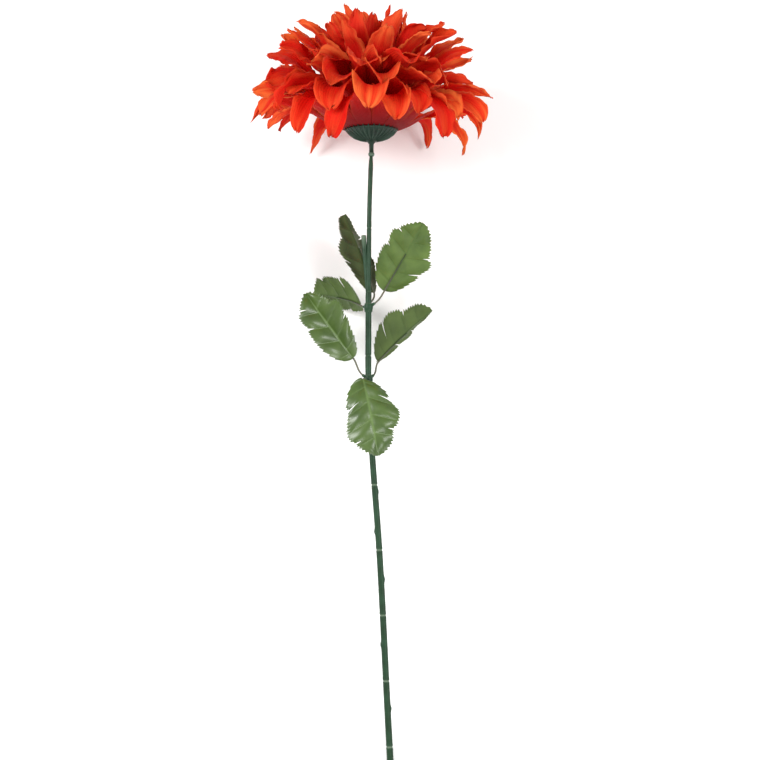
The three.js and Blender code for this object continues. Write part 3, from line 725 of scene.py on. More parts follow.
def manner_of(level, petal):
    """What sets one petal apart from the whorl it belongs to."""
    flop = WHORLS[level][5] * max(0.0, -math.sin(azimuth_of(level, petal))) ** 1.2
    manner = {
        "bend": 2 * SPREAD[level] * (chance(level, petal, 1) - 0.5) - flop,
        "curl": 90 * (chance(level, petal, 2) - 0.55),
        "wave": 24 * (chance(level, petal, 10) - 0.2),
        "sway": 34 * (chance(level, petal, 3) - 0.5),
        "twist": 80 * (chance(level, petal, 4) - 0.5),
        "size": 0.88 + 0.16 * chance(level, petal, 6),
        "width": 0.8 + 0.36 * chance(level, petal, 7),
        "cup": 45 * chance(level, petal, 8),
        "point": 0.85 * chance(level, petal, 11),
    }
    manner.update(SET_BY_HAND.get((level, petal), {}))
    return manner


PRESSED = {  # what the moulds and the knife did to every whorl: a count, then millimetres
    "Pleats": 3.0,
    "Crumple": 4.0,
    "Ruffle": 3.2,
    "Fray": 2.4,
}


def whorl(level):
    """One whorl of petals, skinned on its midribs and given its thickness."""
    count = WHORLS[level][0]
    ribs, tones = [], []
    for petal in range(count):
        ribs.append(rested_midrib(level, azimuth_of(level, petal), manner_of(level, petal)))
        tones += [chance(level, petal, 9)] * ROWS
    joined = {key: np.concatenate([rib[key] for rib in ribs]) for key in ribs[0]}
    vectors = {key: turn(joined[key]) / 1000 for key in ("reach", "bow", "lift", "tooth")}
    source = new_object(
        f"midribs_{level + 1:02d}",
        lie(joined["place"]),
        attributes={**vectors, "along": joined["along"], "tone": tones},
    )
    run_tree(
        source,
        petal_tree,
        {
            "Petals": count,
            "Rows": ROWS,
            "Columns": COLUMNS,
            **PRESSED,
            "Seed": level * 3.7,
            "Satin": satin_face,
        },
    )
    piece = evaluated(source, f"petals_{level + 1:02d}")
    piece.data.materials.append(satin_back)
    shell = piece.modifiers.new("thickness", "SOLIDIFY")
    shell.thickness, shell.offset = CLOTH / 1000, 0
    shell.material_offset = 1
    piece = evaluated(piece, f"petals_{level + 1:02d}")
    return finish_piece(piece, "petal_fabric", f"petal_whorl_{level + 1:02d}")


# %% [markdown]
# ## Ten whorls
#
# Each whorl is one piece, as it is one sheet of cloth in the real flower, and it stands for the plain
# whorl of the frame. A Solidify modifier gives the cloth its thickness, with the duller satin on the
# side that faces the stem.

# %% Make the whorls
petals = [whorl(level) for level in range(len(WHORLS))]
print("petal faces:", sum(len(p.data.polygons) for p in petals))

# %% [markdown]
# ## Moulded green plastic
#
# Stem, calyx and collars are injection-moulded polythene, dyed green. It has a low, waxy sheen and
# goes pale where it has been bent or where the mould pressed it thin. The same pale tone also paints
# highlights on the knuckle under the calyx and on the crests of the calyx ribs. A fine noise gives the
# skin that moulds leave, and an attribute marks the pale places.

# %% Plastic, ribs and wire
def moulded_polythene(name, dark, light, pale, roughness):
    """Dyed polythene: two greens in a slow cloud; a pale tone for stress and painted highlight."""
    made, tree = material(name)
    place = add(tree, "ShaderNodeTexCoord").outputs["Object"]
    # Clouds of dye about 12 mm across, and a skin of 0.6 mm grain.
    cloud = add(tree, "ShaderNodeTexNoise", {"Vector": place, "Scale": 85.0, "Detail": 3.0})
    grain = add(tree, "ShaderNodeTexNoise", {"Vector": place, "Scale": 1600.0, "Detail": 2.0})
    share = add(tree, "ShaderNodeMapRange", [cloud, 0.3, 0.7, 0.0, 1.0])
    colour = add(
        tree,
        "ShaderNodeMix",
        {"Factor": share, "A": linear(dark), "B": linear(light)},
        data_type="RGBA",
    )
    # The pale tone: stress where the plastic was bent or pressed thin, and painted highlight on the
    # calyx's knuckle and rib crests.
    stress_and_highlight = add(tree, "ShaderNodeAttribute", attribute_name="stress_and_highlight").outputs["Fac"]
    wear_and_highlight = add(tree, "ShaderNodeMapRange", [grain, 0.3, 0.7, 0.55, 1.0])
    stress_and_highlight = add(tree, "ShaderNodeMath", [stress_and_highlight, wear_and_highlight], operation="MULTIPLY", use_clamp=True)
    colour = add(
        tree, "ShaderNodeMix", {"Factor": stress_and_highlight, "A": colour, "B": linear(pale)}, data_type="RGBA"
    )
    gloss = add(
        tree, "ShaderNodeMapRange", [grain, 0.3, 0.7, roughness - 0.06, roughness + 0.08]
    )
    bump = add(tree, "ShaderNodeBump", {"Strength": 0.25, "Distance": 0.00015, "Height": grain})
    plastic = add(
        tree,
        "ShaderNodeBsdfPrincipled",
        {
            "Base Color": colour,
            "Roughness": gloss,
            "IOR": 1.51,
            "Specular IOR Level": 0.24,
            "Normal": bump,
        },
    )
    add(tree, "ShaderNodeOutputMaterial", [plastic])
    return made


def drawn_steel(name, colour):
    """Wire: metal with 1 mm scratches from the drawing die, which break up its shine."""
    made, tree = material(name)
    place = add(tree, "ShaderNodeTexCoord").outputs["Object"]
    drawn = add(tree, "ShaderNodeTexNoise", {"Vector": place, "Scale": 900.0, "Detail": 2.0})
    gloss = add(tree, "ShaderNodeMapRange", [drawn, 0.3, 0.7, 0.25, 0.45])
    metal = add(
        tree,
        "ShaderNodeBsdfPrincipled",
        {"Base Color": linear(colour), "Metallic": 1.0, "Roughness": gloss},
    )
    add(tree, "ShaderNodeOutputMaterial", [metal])
    return made


stem_plastic = moulded_polythene(
    "moulded polythene, stem green", "#162f1a", "#21402a", "#74856f", 0.45
)
calyx_plastic = moulded_polythene(
    "moulded polythene, dark calyx green", "#12231a", "#20382b", "#5a7060", 0.4
)
rib_plastic = moulded_polythene(
    "moulded polythene, leaf rib", "#26351f", "#334527", "#686356", 0.5
)
steel = drawn_steel("drawn steel wire", "#a3a29e")
for name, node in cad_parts.items():
    finish = steel if name == "stem_wire" else stem_plastic
    node.data.materials.clear()
    node.data.materials.append(finish)
print("plastics:", stem_plastic.name, calyx_plastic.name, rib_plastic.name)

# %% [markdown]
# ## The stem
#
# The stem is one long moulding with a ring every 60 mm, where the mould was held together, small
# knuckles where leaves could have been plugged in, and a side prong that was trimmed off. A curve
# with a round bevel would give a plain tube. We want the rings, the knuckles and the open end, so we
# draw cross sections and join them, as a boat builder lofts a hull.

# %% Lofting
STEM_LINE = np.array(  # the standing stem bows to the left: (across, up) in millimetres
    [
        (0, 0), (-4.6, 88), (-7.5, 148), (-11.3, 215), (-17.0, 290),
        (-20.6, 350), (-21.0, 420), (-20.6, 480), (-20.0, 530), (-18.5, 576),
    ]
)  # fmt: skip


def stem_at(height):
    """Centre of the standing stem at that height: a smooth curve through the points above."""
    x, z = STEM_LINE[:, 0], STEM_LINE[:, 1]
    slopes = np.gradient(x, z)
    k = int(np.clip(np.searchsorted(z, height) - 1, 0, len(z) - 2))
    span = z[k + 1] - z[k]
    t = (height - z[k]) / span
    h00, h10 = 2 * t**3 - 3 * t**2 + 1, t**3 - 2 * t**2 + t
    h01, h11 = -2 * t**3 + 3 * t**2, t**3 - t**2
    at = h00 * x[k] + h10 * span * slopes[k] + h01 * x[k + 1] + h11 * span * slopes[k + 1]
    return np.array([at, 0.0, height])


def circle(centre, along, radii, start=(1, 0, 0)):
    """Points round a centre, across the direction along; radii holds one radius for each point."""
    along = np.asarray(along, float) / np.linalg.norm(along)
    u = np.asarray(start, float) - np.dot(start, along) * along
    u /= np.linalg.norm(u)
    v = np.cross(along, u)
    angles = np.linspace(0, 2 * math.pi, len(radii), endpoint=False)[:, None]
    return centre + np.asarray(radii)[:, None] * (np.cos(angles) * u + np.sin(angles) * v)


def loft(name, rings, stress_and_highlight=None, closed=False):
    """A closed skin over the rings, which hold equal numbers of points; standing millimetres."""
    sides, count = len(rings[0]), len(rings)
    faces = []
    for k in range(count if closed else count - 1):
        here, there = k * sides, ((k + 1) % count) * sides
        for i in range(sides):
            n = (i + 1) % sides
            faces.append((here + i, here + n, there + n, there + i))
    if not closed:
        faces.append(tuple(range(sides))[::-1])
        faces.append(tuple(range((count - 1) * sides, count * sides)))
    marks = {"stress_and_highlight": np.repeat(stress_and_highlight if stress_and_highlight is not None else np.zeros(count), sides)}
    return new_object(name, lie(np.concatenate(rings)), faces=faces, attributes=marks)


def join(name, pieces):
    """Several objects as one."""
    whole = bmesh.new()
    for piece in pieces:
        whole.from_mesh(piece.data)
        bpy.data.objects.remove(piece)
    mesh = bpy.data.meshes.new(name)
    whole.to_mesh(mesh)
    whole.free()
    made = bpy.data.objects.new(name, mesh)
    bpy.context.scene.collection.objects.link(made)
    return made


print("the stem passes", stem_at(300).round(2))

# %% [markdown]
# ## Rings, knuckles and the prong
#
# One function gives the stem's radius at any height and on any side, and the loft does the rest. The
# radius narrows above the fork, dips at each ring between two small lips, swells at each knuckle, and
# has a fine seam on both sides where the halves of the mould met. The open end shows the wire.

# %% Stem
STEM_SIDES = 28
STEM_TOP, FORK_AT, PRONG_TOP = 576, 449, 501
FOOT_R, FORK_R, NECK_R, WIRE_BORE_R = 3.0, 2.7, 2.1, 1.25
JOINTS = np.arange(28, 551, 60.0)  # moulded rings
WORN_BELOW = 290  # the rings under this height have been flexed more
KNUCKLES = [(63, 0.3), (121, 3.4), (181, 0.2), (225, 2.9), (262, 0.4), (320, 3.2)]
STEM_ANGLES = np.linspace(0, 2 * math.pi, STEM_SIDES, endpoint=False)


def stem_radii(z):
    """The stem's radius at a height, for each of its sides."""
    foot = FOOT_R + (FORK_R - FOOT_R) * min(1, z / FORK_AT)
    r = foot + (NECK_R - foot) * smooth_step(FORK_AT - 6, FORK_AT + 6, z)
    ring = np.exp(-(((z - JOINTS) / 0.55) ** 2)).sum()
    lips = np.exp(-(((np.abs(z - JOINTS) - 1.7) / 0.7) ** 2)).sum()
    r = r * (1 - 0.15 * ring) + 0.13 * lips + 0.05 * math.sin(z * 0.71) * math.sin(z * 0.23)
    bump = sum(
        0.9 * math.exp(-(((z - at) / 2.6) ** 2)) * np.clip(np.cos(STEM_ANGLES - a), 0, 1) ** 3
        for at, a in KNUCKLES
    )
    seam = 0.12 * np.exp(-((np.sin(STEM_ANGLES) / 0.12) ** 2))  # where the mould halves met
    return r + bump + seam


heights = np.unique(
    np.concatenate(
        [np.arange(0, STEM_TOP - 9, 3.0)]
        + [j + np.arange(-3, 3.01, 0.5) for j in JOINTS]
        + [at + np.arange(-5, 5.01, 1.0) for at, _ in KNUCKLES]
    )
)
INNER = [(40, WIRE_BORE_R), (20, WIRE_BORE_R), (0.6, WIRE_BORE_R), (0, 1.5), (0, 2.7)]
PEG = [(568, 2.1), (573, 1.75), (575, 1.45), (583, 1.43)]  # goes up into the calyx's sleeve


def level_ring(z, radii):
    """A ring of the stem at a height."""
    return circle(stem_at(z), (0, 0, 1), radii)


inside = [level_ring(z, np.full(STEM_SIDES, r)) for z, r in INNER]
outside = [level_ring(z, stem_radii(z)) for z in heights[1:]]
peg = [level_ring(z, np.full(STEM_SIDES, r)) for z, r in PEG]
rings = inside + outside + peg
stress_and_highlight = np.zeros(len(rings))
wear_and_highlight = np.where(JOINTS < WORN_BELOW, 0.8, 0.12)
for k, z in enumerate(heights[1:]):
    stress_and_highlight[len(inside) + k] = (wear_and_highlight * np.exp(-(((z - JOINTS) / 0.8) ** 2))).sum()
shaft = loft("shaft", rings, stress_and_highlight)

# The prong, from inside the stem to its cut end: share of its length, radius, paleness.
PRONG = [(0, 1.1, 0), (0.2, 1.6, 0), (0.5, 1.95, 0), (0.8, 2.2, 0), (0.985, 2.3, 0.6), (1, 2.15, 0.6)]
root_at, tip_at = stem_at(FORK_AT - 16), stem_at(PRONG_TOP) + np.array([-5.1, 0.6, 0])
lean = tip_at - root_at
prong_rings = [circle(root_at + lean * t, lean, np.full(STEM_SIDES, r)) for t, r, _ in PRONG]
prong = loft("prong", prong_rings, [pale for _, _, pale in PRONG])
stem = join("stem_moulding", [shaft, prong])
stem.data.materials.append(stem_plastic)
finish_piece(stem, "green_plastic", "stem")
print("stem:", len(stem.data.polygons), "faces")

# %% [markdown]
# ## The calyx
#
# The calyx is a shallow dish with pointed ribs that spread from the neck, like the pleats of a
# parasol. The ribs repeat, so Geometry Nodes set one rib round the dish.

# %% The calyx dish
CALYX_SIDES = 96


def head_circle(height, radius, sides):
    """A circle round the head's axis."""
    return circle(HEAD_AT + [0, 0, height], (0, 0, 1), np.full(sides, radius))


stack_top = FIRST_LAYER + LAYER_PITCH * (len(WHORLS) - 1)
# The full paleness at the knuckle under the dish is a painted highlight.
DISH = [  # height over the dish's underside, radius, paleness; up the bore, out, round and up the peg
    (-4, 1.7, 0), (-15, 1.75, 0), (-15.3, 2.3, 1), (-14, 2.9, 1), (-12.6, 2.85, 1), (-11.6, 2.2, 0),
    (-8, 2.05, 0), (-4, 2.3, 0), (-3, 3.0, 0), (-2.0, 3.8, 0), (-0.9, 5.5, 0), (0.2, 8.5, 0),
    (1.6, 12.5, 0), (3.6, 17, 0), (6.2, 21, 0), (8.2, 23.2, 0), (9.0, 24.0, 0.35), (9.2, 23.4, 0),
    (7.4, 18, 0), (6.3, 12, 0), (6.2, 3.6, 0), (7.2, 2.5, 0), (stack_top + 6, 2.4, 0),
]  # fmt: skip
dish_rings = [head_circle(h, r, CALYX_SIDES) for h, r, _ in DISH]
dish = loft("dish", dish_rings, [pale for _, _, pale in DISH])
print("dish:", len(dish.data.polygons), "faces")

# %% [markdown]
# ## Thirty ribs round the calyx
#
# One rib is drawn, along +X and hanging below the dish: a ridge that rises, runs out past the rim and
# ends in a point. It repeats round the axis, so it is instanced on as many points as there are ribs,
# each turned by its share of the circle. All the points lie on the axis, and only the turn differs.

# %% The calyx ribs
RIBS = 30
RIB_SECTION = 4  # corners of a rib's section
rib_line = np.array([(5.0, -0.9), (8.5, 0.2), (12.5, 1.6), (17, 3.6), (21.5, 6.6), (26.0, 11.2)])
rib_wide, rib_deep = (0.3, 0.6, 0.9, 1.2, 1.3, 0.12), (0.3, 0.9, 1.3, 1.5, 1.3, 0.1)
rib_points, rib_faces = [], []
for (r, h), wide, deep in zip(rib_line, rib_wide, rib_deep):
    rib_points += [(r, -wide, h + 0.4), (r, 0, h - deep), (r, wide, h + 0.4), (r, 0, h + 0.8)]
for n in range(len(rib_line) - 1):
    for i in range(RIB_SECTION):
        a, b = n * RIB_SECTION + i, n * RIB_SECTION + (i + 1) % RIB_SECTION
        rib_faces.append((a, a + RIB_SECTION, b + RIB_SECTION, b))
ends = list(range(len(rib_points)))
rib_faces += [tuple(ends[:RIB_SECTION]), tuple(ends[:-RIB_SECTION - 1 : -1])]

calyx_tree, given = new_tree("set ribs round the dish", {"Ribs": "Int", "Plastic": "Material"})
t = calyx_tree
step = add(t, "ShaderNodeMath", [2 * math.pi, given["Ribs"]], operation="DIVIDE")
angle = add(
    t, "ShaderNodeMath", [add(t, "GeometryNodeInputIndex"), step], operation="MULTIPLY"
)
spin = add(t, "ShaderNodeCombineXYZ", {"Z": angle})
spots = add(t, "GeometryNodePoints", [given["Ribs"]])
ring = add(
    t,
    "GeometryNodeInstanceOnPoints",
    {"Points": spots, "Instance": given["Geometry"], "Rotation": spin},
)
ring = add(t, "GeometryNodeRealizeInstances", [ring])
ring = add(t, "GeometryNodeSetMaterial", {"Geometry": ring, "Material": given["Plastic"]})
add(t, "NodeGroupOutput", [ring])
source = new_object("one_rib", rib_points, faces=rib_faces)
run_tree(source, calyx_tree, {"Ribs": RIBS, "Plastic": calyx_plastic})
ribs = evaluated(source, "calyx_ribs")
raw = np.array([v.co for v in ribs.data.vertices])
ribs.data.vertices.foreach_set("co", lie(raw + HEAD_AT).ravel())
below_line = np.interp(np.hypot(raw[:, 0], raw[:, 1]), *rib_line.T) - raw[:, 2]
wear_and_highlight = 0.3 * smooth_step(0.0, 1.5, below_line)  # ridges painted pale: a painted highlight on the rib crests
ribs.data.attributes.new("stress_and_highlight", "FLOAT", "POINT").data.foreach_set("value", wear_and_highlight)
calyx = join("calyx_moulding", [dish, ribs])
calyx.data.materials.clear()
calyx.data.materials.append(calyx_plastic)
calyx.data.polygons.foreach_set("material_index", [0] * len(calyx.data.polygons))
finish_piece(calyx, "green_plastic", "calyx")
print("calyx:", RIBS, "ribs,", len(calyx.data.polygons), "faces")

# %% [markdown]
# ## Coated leaf fabric
#
# The leaves are cut from polyester with a green print and pressed against a mould that leaves veins.
# The top is coated and shines; the underside is bare cloth, paler and dull.

# %% Leaf fabrics
def leaf_fabric(name, dark, light, vein, roughness, coat, glow):
    """Printed leaf cloth. Veins are an attribute, because they follow the blade.

    Painted shade, an attribute too, dulls the green towards olive on the leaves that lie in shade.
    """
    made, tree = material(name)
    place = add(tree, "ShaderNodeTexCoord").outputs["Object"]
    cloud = add(tree, "ShaderNodeTexNoise", {"Vector": place, "Scale": 60.0, "Detail": 4.0})
    thread = add(tree, "ShaderNodeTexNoise", {"Vector": place, "Scale": 2300.0, "Detail": 1.0})
    share = add(tree, "ShaderNodeMapRange", [cloud, 0.32, 0.68, 0.0, 1.0])
    colour = add(
        tree,
        "ShaderNodeMix",
        {"Factor": share, "A": linear(dark), "B": linear(light)},
        data_type="RGBA",
    )
    # Painted shade: leaves that lie behind or under the others are dulled towards a dark olive.
    painted_shade = add(tree, "ShaderNodeAttribute", attribute_name="painted_shade").outputs["Fac"]
    colour = add(
        tree,
        "ShaderNodeMix",
        {"Factor": painted_shade, "A": colour, "B": linear("#3c4229")},
        data_type="RGBA",
    )
    veins = add(tree, "ShaderNodeAttribute", attribute_name="vein").outputs["Fac"]
    veins = add(tree, "ShaderNodeMath", [veins, 0.4], operation="MULTIPLY", use_clamp=True)
    colour = add(
        tree, "ShaderNodeMix", {"Factor": veins, "A": colour, "B": linear(vein)}, data_type="RGBA"
    )
    gloss = add(
        tree, "ShaderNodeMapRange", [cloud, 0.3, 0.7, roughness - 0.05, roughness + 0.1]
    )
    bump = add(tree, "ShaderNodeBump", {"Strength": 0.3, "Distance": 0.0002, "Height": thread})
    cloth = add(
        tree,
        "ShaderNodeBsdfPrincipled",
        {
            "Base Color": colour,
            "Roughness": gloss,
            "IOR": 1.5,
            "Specular IOR Level": 0.25,
            "Coat Weight": coat,
            "Coat Roughness": 0.3,
            "Normal": bump,
        },
    )
    through = add(tree, "ShaderNodeBsdfTranslucent", {"Color": colour, "Normal": bump})
    both = add(tree, "ShaderNodeMixShader", [glow, cloth, through])
    add(tree, "ShaderNodeOutputMaterial", [both])
    return made


leaf_top = leaf_fabric(
    "coated leaf cloth, top", "#3d5421", "#50682b", "#7f9a5c", 0.4, 0.9, 0.1
)
leaf_under = leaf_fabric(
    "bare leaf cloth, underside", "#4a612c", "#5f763a", "#3b5426", 0.6, 0.0, 0.1
)
print("leaf cloth:", leaf_top.name, "and", leaf_under.name)

# %% [markdown]
# ## The leaves
#
# A chrysanthemum leaf is lobed, toothed along its margin and slit between the lobes. The blade is a
# grid whose rows sweep forwards like the side veins. A vein is then a row, a slit is a row where the
# cloth is cut, and a tooth is a few rows. Each blade follows an arc from its foot to its tip.

# %% The six leaves
# collar; foot and tip of the midrib, standing; the direction that the top faces; width; arch and
# fold in degrees; slits as (side, share of the length, how near to the midrib they come).
LEAVES = {
    "lower_front": (
        "lower", (-26, -9.5, 366), (-12, -19, 294.5), (0.05, -1, 0.1), 51, 60, -6,
        ((-1, 0.2, 0.45), (-1, 0.62, 0.68), (1, 0.26, 0.4), (1, 0.72, 0.6)),
    ),
    "lower_left": (
        "lower", (-35.3, -5, 385.5), (-79, -12, 444.8), (-0.05, -1, -0.14), 46, 20, 26,
        ((-1, 0.5, 0.6), (-1, 0.78, 0.5), (1, 0.36, 0.75), (1, 0.66, 0.7)),
    ),
    "lower_right": (
        "lower", (-12.5, 6, 383.2), (38.7, 20, 432.8), (-0.48, 0.72, 0.5), 48, 14, 38,
        ((-1, 0.3, 0.3), (-1, 0.58, 0.7), (1, 0.26, 0.35), (1, 0.6, 0.6)),
    ),
    "upper_right": (
        "upper", (-6, -1, 448.7), (30.5, 8, 513.5), (-0.08, 1, -0.1), 50, 16, 9,
        ((-1, 0.26, 0.45), (-1, 0.52, 0.66), (1, 0.45, 0.8), (1, 0.72, 0.7)),
    ),
    "upper_left": (
        "upper", (-28, 8, 437), (-73.5, 56, 452), (0.64, 0.34, 0.68), 48, 22, 12,
        ((-1, 0.25, 0.45), (-1, 0.62, 0.6), (1, 0.36, 0.5), (1, 0.72, 0.6)),
    ),
    "upper_back": (
        "upper", (-17, 16, 449), (-45, 38, 526), (-0.7, 0.55, -0.42), 46, -12, 10,
        ((-1, 0.38, 0.45), (-1, 0.66, 0.6), (1, 0.28, 0.6), (1, 0.6, 0.45)),
    ),
}


print("leaves:", ", ".join(LEAVES))

# %% [markdown]
# ## The arc of a leaf
#
# A leaf's midrib is part of a circle in the plane of its length and its facing. From foot, tip and
# the angle it turns through, the rest follows: its length, and the place and facing at any distance.

# %% The arc of a leaf
def unit(vector):
    """The vector with length one."""
    return np.asarray(vector, float) / np.linalg.norm(vector)


def leaf_frame(name):
    """A leaf's arc: functions for its midrib point and facing at a distance along it."""
    _, foot, tip, face, _, arch, _, _ = LEAVES[name]
    foot, chord = np.array(foot, float), np.array(tip, float) - foot
    span, ahead = np.linalg.norm(chord), unit(chord)
    face = unit(np.array(face) - np.dot(face, ahead) * ahead)
    aside, arch = unit(np.cross(ahead, face)), math.radians(arch)
    length = span * arch / 2 / math.sin(arch / 2)

    def at(s):
        angle = (arch / 2 - arch * np.asarray(s, float) / length)[..., None]
        forward = math.sin(arch / 2) - np.sin(angle)
        rise = np.cos(angle) - math.cos(arch / 2)
        return foot + length / arch * (forward * ahead + rise * face)

    def facing(s):
        angle = (arch / 2 - arch * np.asarray(s, float) / length)[..., None]
        return np.cos(angle) * face - np.sin(angle) * ahead

    return at, facing, aside, length


print("length of the front leaf:", round(leaf_frame("lower_front")[3], 1), "mm")

# %% [markdown]
# ## Cutting and pressing a blade
#
# First the cutting: the outline, its teeth, and the slits, which are rows drawn twice so that their
# edges can part. Then the pressing: grooves at the veins and cloth that swells between them. All of
# it is worked out for the whole grid at once, as arrays of numbers.

# %% The leaf blades
VEINS = (0.1, 0.3, 0.52, 0.74)  # where side veins leave the midrib
TEETH = 23  # along each margin
TOOTH = 2.6  # millimetres
SLIT_GAP = 0.015  # how far a slit gapes at the margin, as a share of the length
NOTCH = 0.1  # how much narrower the blade is at a slit
SWEEP = 0.62  # how far the rows run forwards for each millimetre outwards
SWELL, GROOVE, SIDE_GROOVE = 2.3, 0.6, 0.4  # relief of the pressed cloth in millimetres
BLADE_GRID = (126, 41)  # rows and columns
PAINTED_SHADES = {  # painted shade: how far a leaf's green is dulled towards olive where it lies in shade
    "lower_front": 0.0,
    "lower_left": 0.1,
    "lower_right": 0.45,
    "upper_right": 0.1,
    "upper_left": 0.3,
    "upper_back": 0.75,
}


def cut_blade(name):
    """The cut cloth: its rows, which of them start beyond a slit, and where its points lie flat.

    Flat, a point has a share of the length, a side, a reach from 0 at the midrib to 1 at the margin,
    and distances out from the midrib and along it, in millimetres.
    """
    _, _, _, _, width, _, _, slits = LEAVES[name]
    order = list(LEAVES).index(name)
    cuts = sorted({s[1] for s in slits})
    rows = np.unique(np.concatenate([np.linspace(0, 1, BLADE_GRID[0]), cuts]))
    rows = np.sort(np.concatenate([rows, cuts]))  # a cut needs one row for each of its two edges
    across = np.sin(np.linspace(-1, 1, BLADE_GRID[1]) * math.pi / 2)
    t, v = np.meshgrid(rows, across, indexing="ij")
    side, reach = np.sign(v), np.abs(v)
    second = np.concatenate([[False], rows[1:] == rows[:-1]])  # the far edge of each cut

    shift, notch = np.zeros_like(t), np.zeros_like(t)
    for which, where, near in slits:
        depth = np.clip((reach - near) / (1 - near), 0, 1) * (side == which)
        beyond = (rows > where) | ((rows == where) & second)
        away = np.where(beyond[:, None], 1.0, -0.5)
        close = np.exp(-(((t - where) / 0.06) ** 2))
        shift += away * close * SLIT_GAP * depth**0.9
        dip = np.exp(-(((t - where) / np.where(t > where, 0.09, 0.03)) ** 2))
        notch += NOTCH * dip * (side == which)
    # Widest below the middle and drawn to a point; each half bulges a little differently.
    body = np.sin(np.pi * np.clip(t, 0, 1) ** 0.86) ** 0.6 * (1 - 0.22 * t**3)
    body *= 1 + 0.09 * np.sin(t * 9.5 + side * 1.3 + order * 1.9)
    body = np.where((t <= 0) | (t >= 1), 0.05, np.maximum(body, 0.05))
    saw = (t * TEETH + 0.37 * side + order * 0.3) % 1.0
    rim = smooth_step(0.82, 1, reach)
    half = width / 2 * body * (1 - notch * smooth_step(0.55, 1, reach))
    out = reach * half + TOOTH * (saw - 0.5) * rim * smooth_step(0, 0.12, t)
    out = np.maximum(out, 0)
    t = t + shift
    run = leaf_frame(name)[3] * t + SWEEP * out * (1 - 0.6 * t) * np.clip(t * 5, 0, 1)
    return second, t, side, reach, out, run


def press_blade(name, t, side, reach, out):
    """What the mould leaves: the height of the relief in millimetres, and how much a point is vein."""
    order = list(LEAVES).index(name)
    groove = np.exp(-((out / 0.6) ** 2))
    ribs = np.zeros_like(t)
    for where in VEINS:
        ribs += np.exp(-(((t - where - 0.03 * side) / 0.009) ** 2)) * (1 - reach**3)
    ribs = np.clip(ribs, 0, 1)
    swell = sum(
        np.sin(np.clip((t - 0.03 * side - a) / (b - a), 0, 1) * math.pi)
        for a, b in zip(VEINS, (*VEINS[1:], 0.97))
    )
    wave = 1.7 * np.sin(t * 8 + side * 1.7 + order * 2.1) * reach**2
    wave = wave + 0.8 * np.sin(t * 19 + side * 0.9 + order * 1.3) * reach**3
    relief = SWELL * swell * np.sin(reach * math.pi) ** 1.3
    relief = relief - GROOVE * groove - SIDE_GROOVE * ribs + wave
    return relief, np.clip(ribs * 0.6 + groove, 0, 1)


def weld(mesh, distance):
    """Merges points that touch and drops those that no face uses."""
    whole = bmesh.new()
    whole.from_mesh(mesh)
    bmesh.ops.remove_doubles(whole, verts=whole.verts, dist=distance)
    loose = [v for v in whole.verts if not v.link_faces]
    bmesh.ops.delete(whole, geom=loose, context="VERTS")
    whole.to_mesh(mesh)
    whole.free()


def leaf_blade(name):
    """One leaf blade, cut, pressed and given its thickness."""
    at, facing, aside, _ = leaf_frame(name)
    second, t, side, reach, out, run = cut_blade(name)
    relief, vein = press_blade(name, t, side, reach, out)
    slope = math.radians(LEAVES[name][6])
    points = at(run) + (side * out * math.cos(slope))[..., None] * aside
    points = points + (out * math.sin(slope) + relief)[..., None] * facing(run)

    n_rows, n_cols = t.shape
    grid = np.arange(n_rows * n_cols).reshape(n_rows, n_cols)
    faces = [
        (grid[k, c], grid[k, c + 1], grid[k + 1, c + 1], grid[k + 1, c])
        for k in range(n_rows - 1)
        if not second[k + 1]
        for c in range(n_cols - 1)
    ]
    blade = new_object(
        name + "_blade",
        lie(points.reshape(-1, 3)),
        faces=faces,
        attributes={"vein": vein.ravel(), "painted_shade": np.full(t.size, PAINTED_SHADES[name])},
    )
    weld(blade.data, 0.00002)
    blade.data.materials.append(leaf_top)
    blade.data.materials.append(leaf_under)
    shell = blade.modifiers.new("thickness", "SOLIDIFY")
    shell.thickness, shell.offset = CLOTH / 1000, 0
    shell.material_offset = 1
    blade = evaluated(blade, name + "_blade")
    return finish_piece(blade, "leaf_fabric", name + "_leaf")


blades = [leaf_blade(name) for name in LEAVES]
print("leaf faces:", sum(len(b.data.polygons) for b in blades))

# %% [markdown]
# ## Leaf ribs
#
# A thin plastic rib carries each leaf: a stalk from the collar that runs on under the blade as its
# midrib. It is a rod along a path, so one small Geometry Nodes tree sweeps a circle along the path
# and takes the thickness from each point.

# %% The rod tree
rod_tree, given = new_tree("sweep rods", {"Sides": "Int", "Plastic": "Material"})
t = rod_tree
path = add(t, "GeometryNodeMeshToCurve", [given["Geometry"]])
thick = add(t, "GeometryNodeInputNamedAttribute", ["thick"], data_type="FLOAT")
path = add(t, "GeometryNodeSetCurveRadius", {"Curve": path, "Radius": thick})
round_section = add(
    t, "GeometryNodeCurvePrimitiveCircle", {"Resolution": given["Sides"], "Radius": 1.0}
)
rods = add(
    t,
    "GeometryNodeCurveToMesh",
    {"Curve": path, "Profile Curve": round_section, "Scale": thick, "Fill Caps": True},
)
rods = add(t, "GeometryNodeRealizeInstances", [rods])
rods = add(t, "GeometryNodeSetMaterial", {"Geometry": rods, "Material": given["Plastic"]})
add(t, "NodeGroupOutput", [rods])
print("rod tree:", len(t.nodes), "nodes")

# %% [markdown]
# ## A stalk and a midrib for each leaf
#
# The stalk leaves its stub along the stub's own direction and meets the blade along the blade's, so a
# Bezier curve with those two directions is its path. The midrib follows the underside of the blade
# and thins out over half its length.

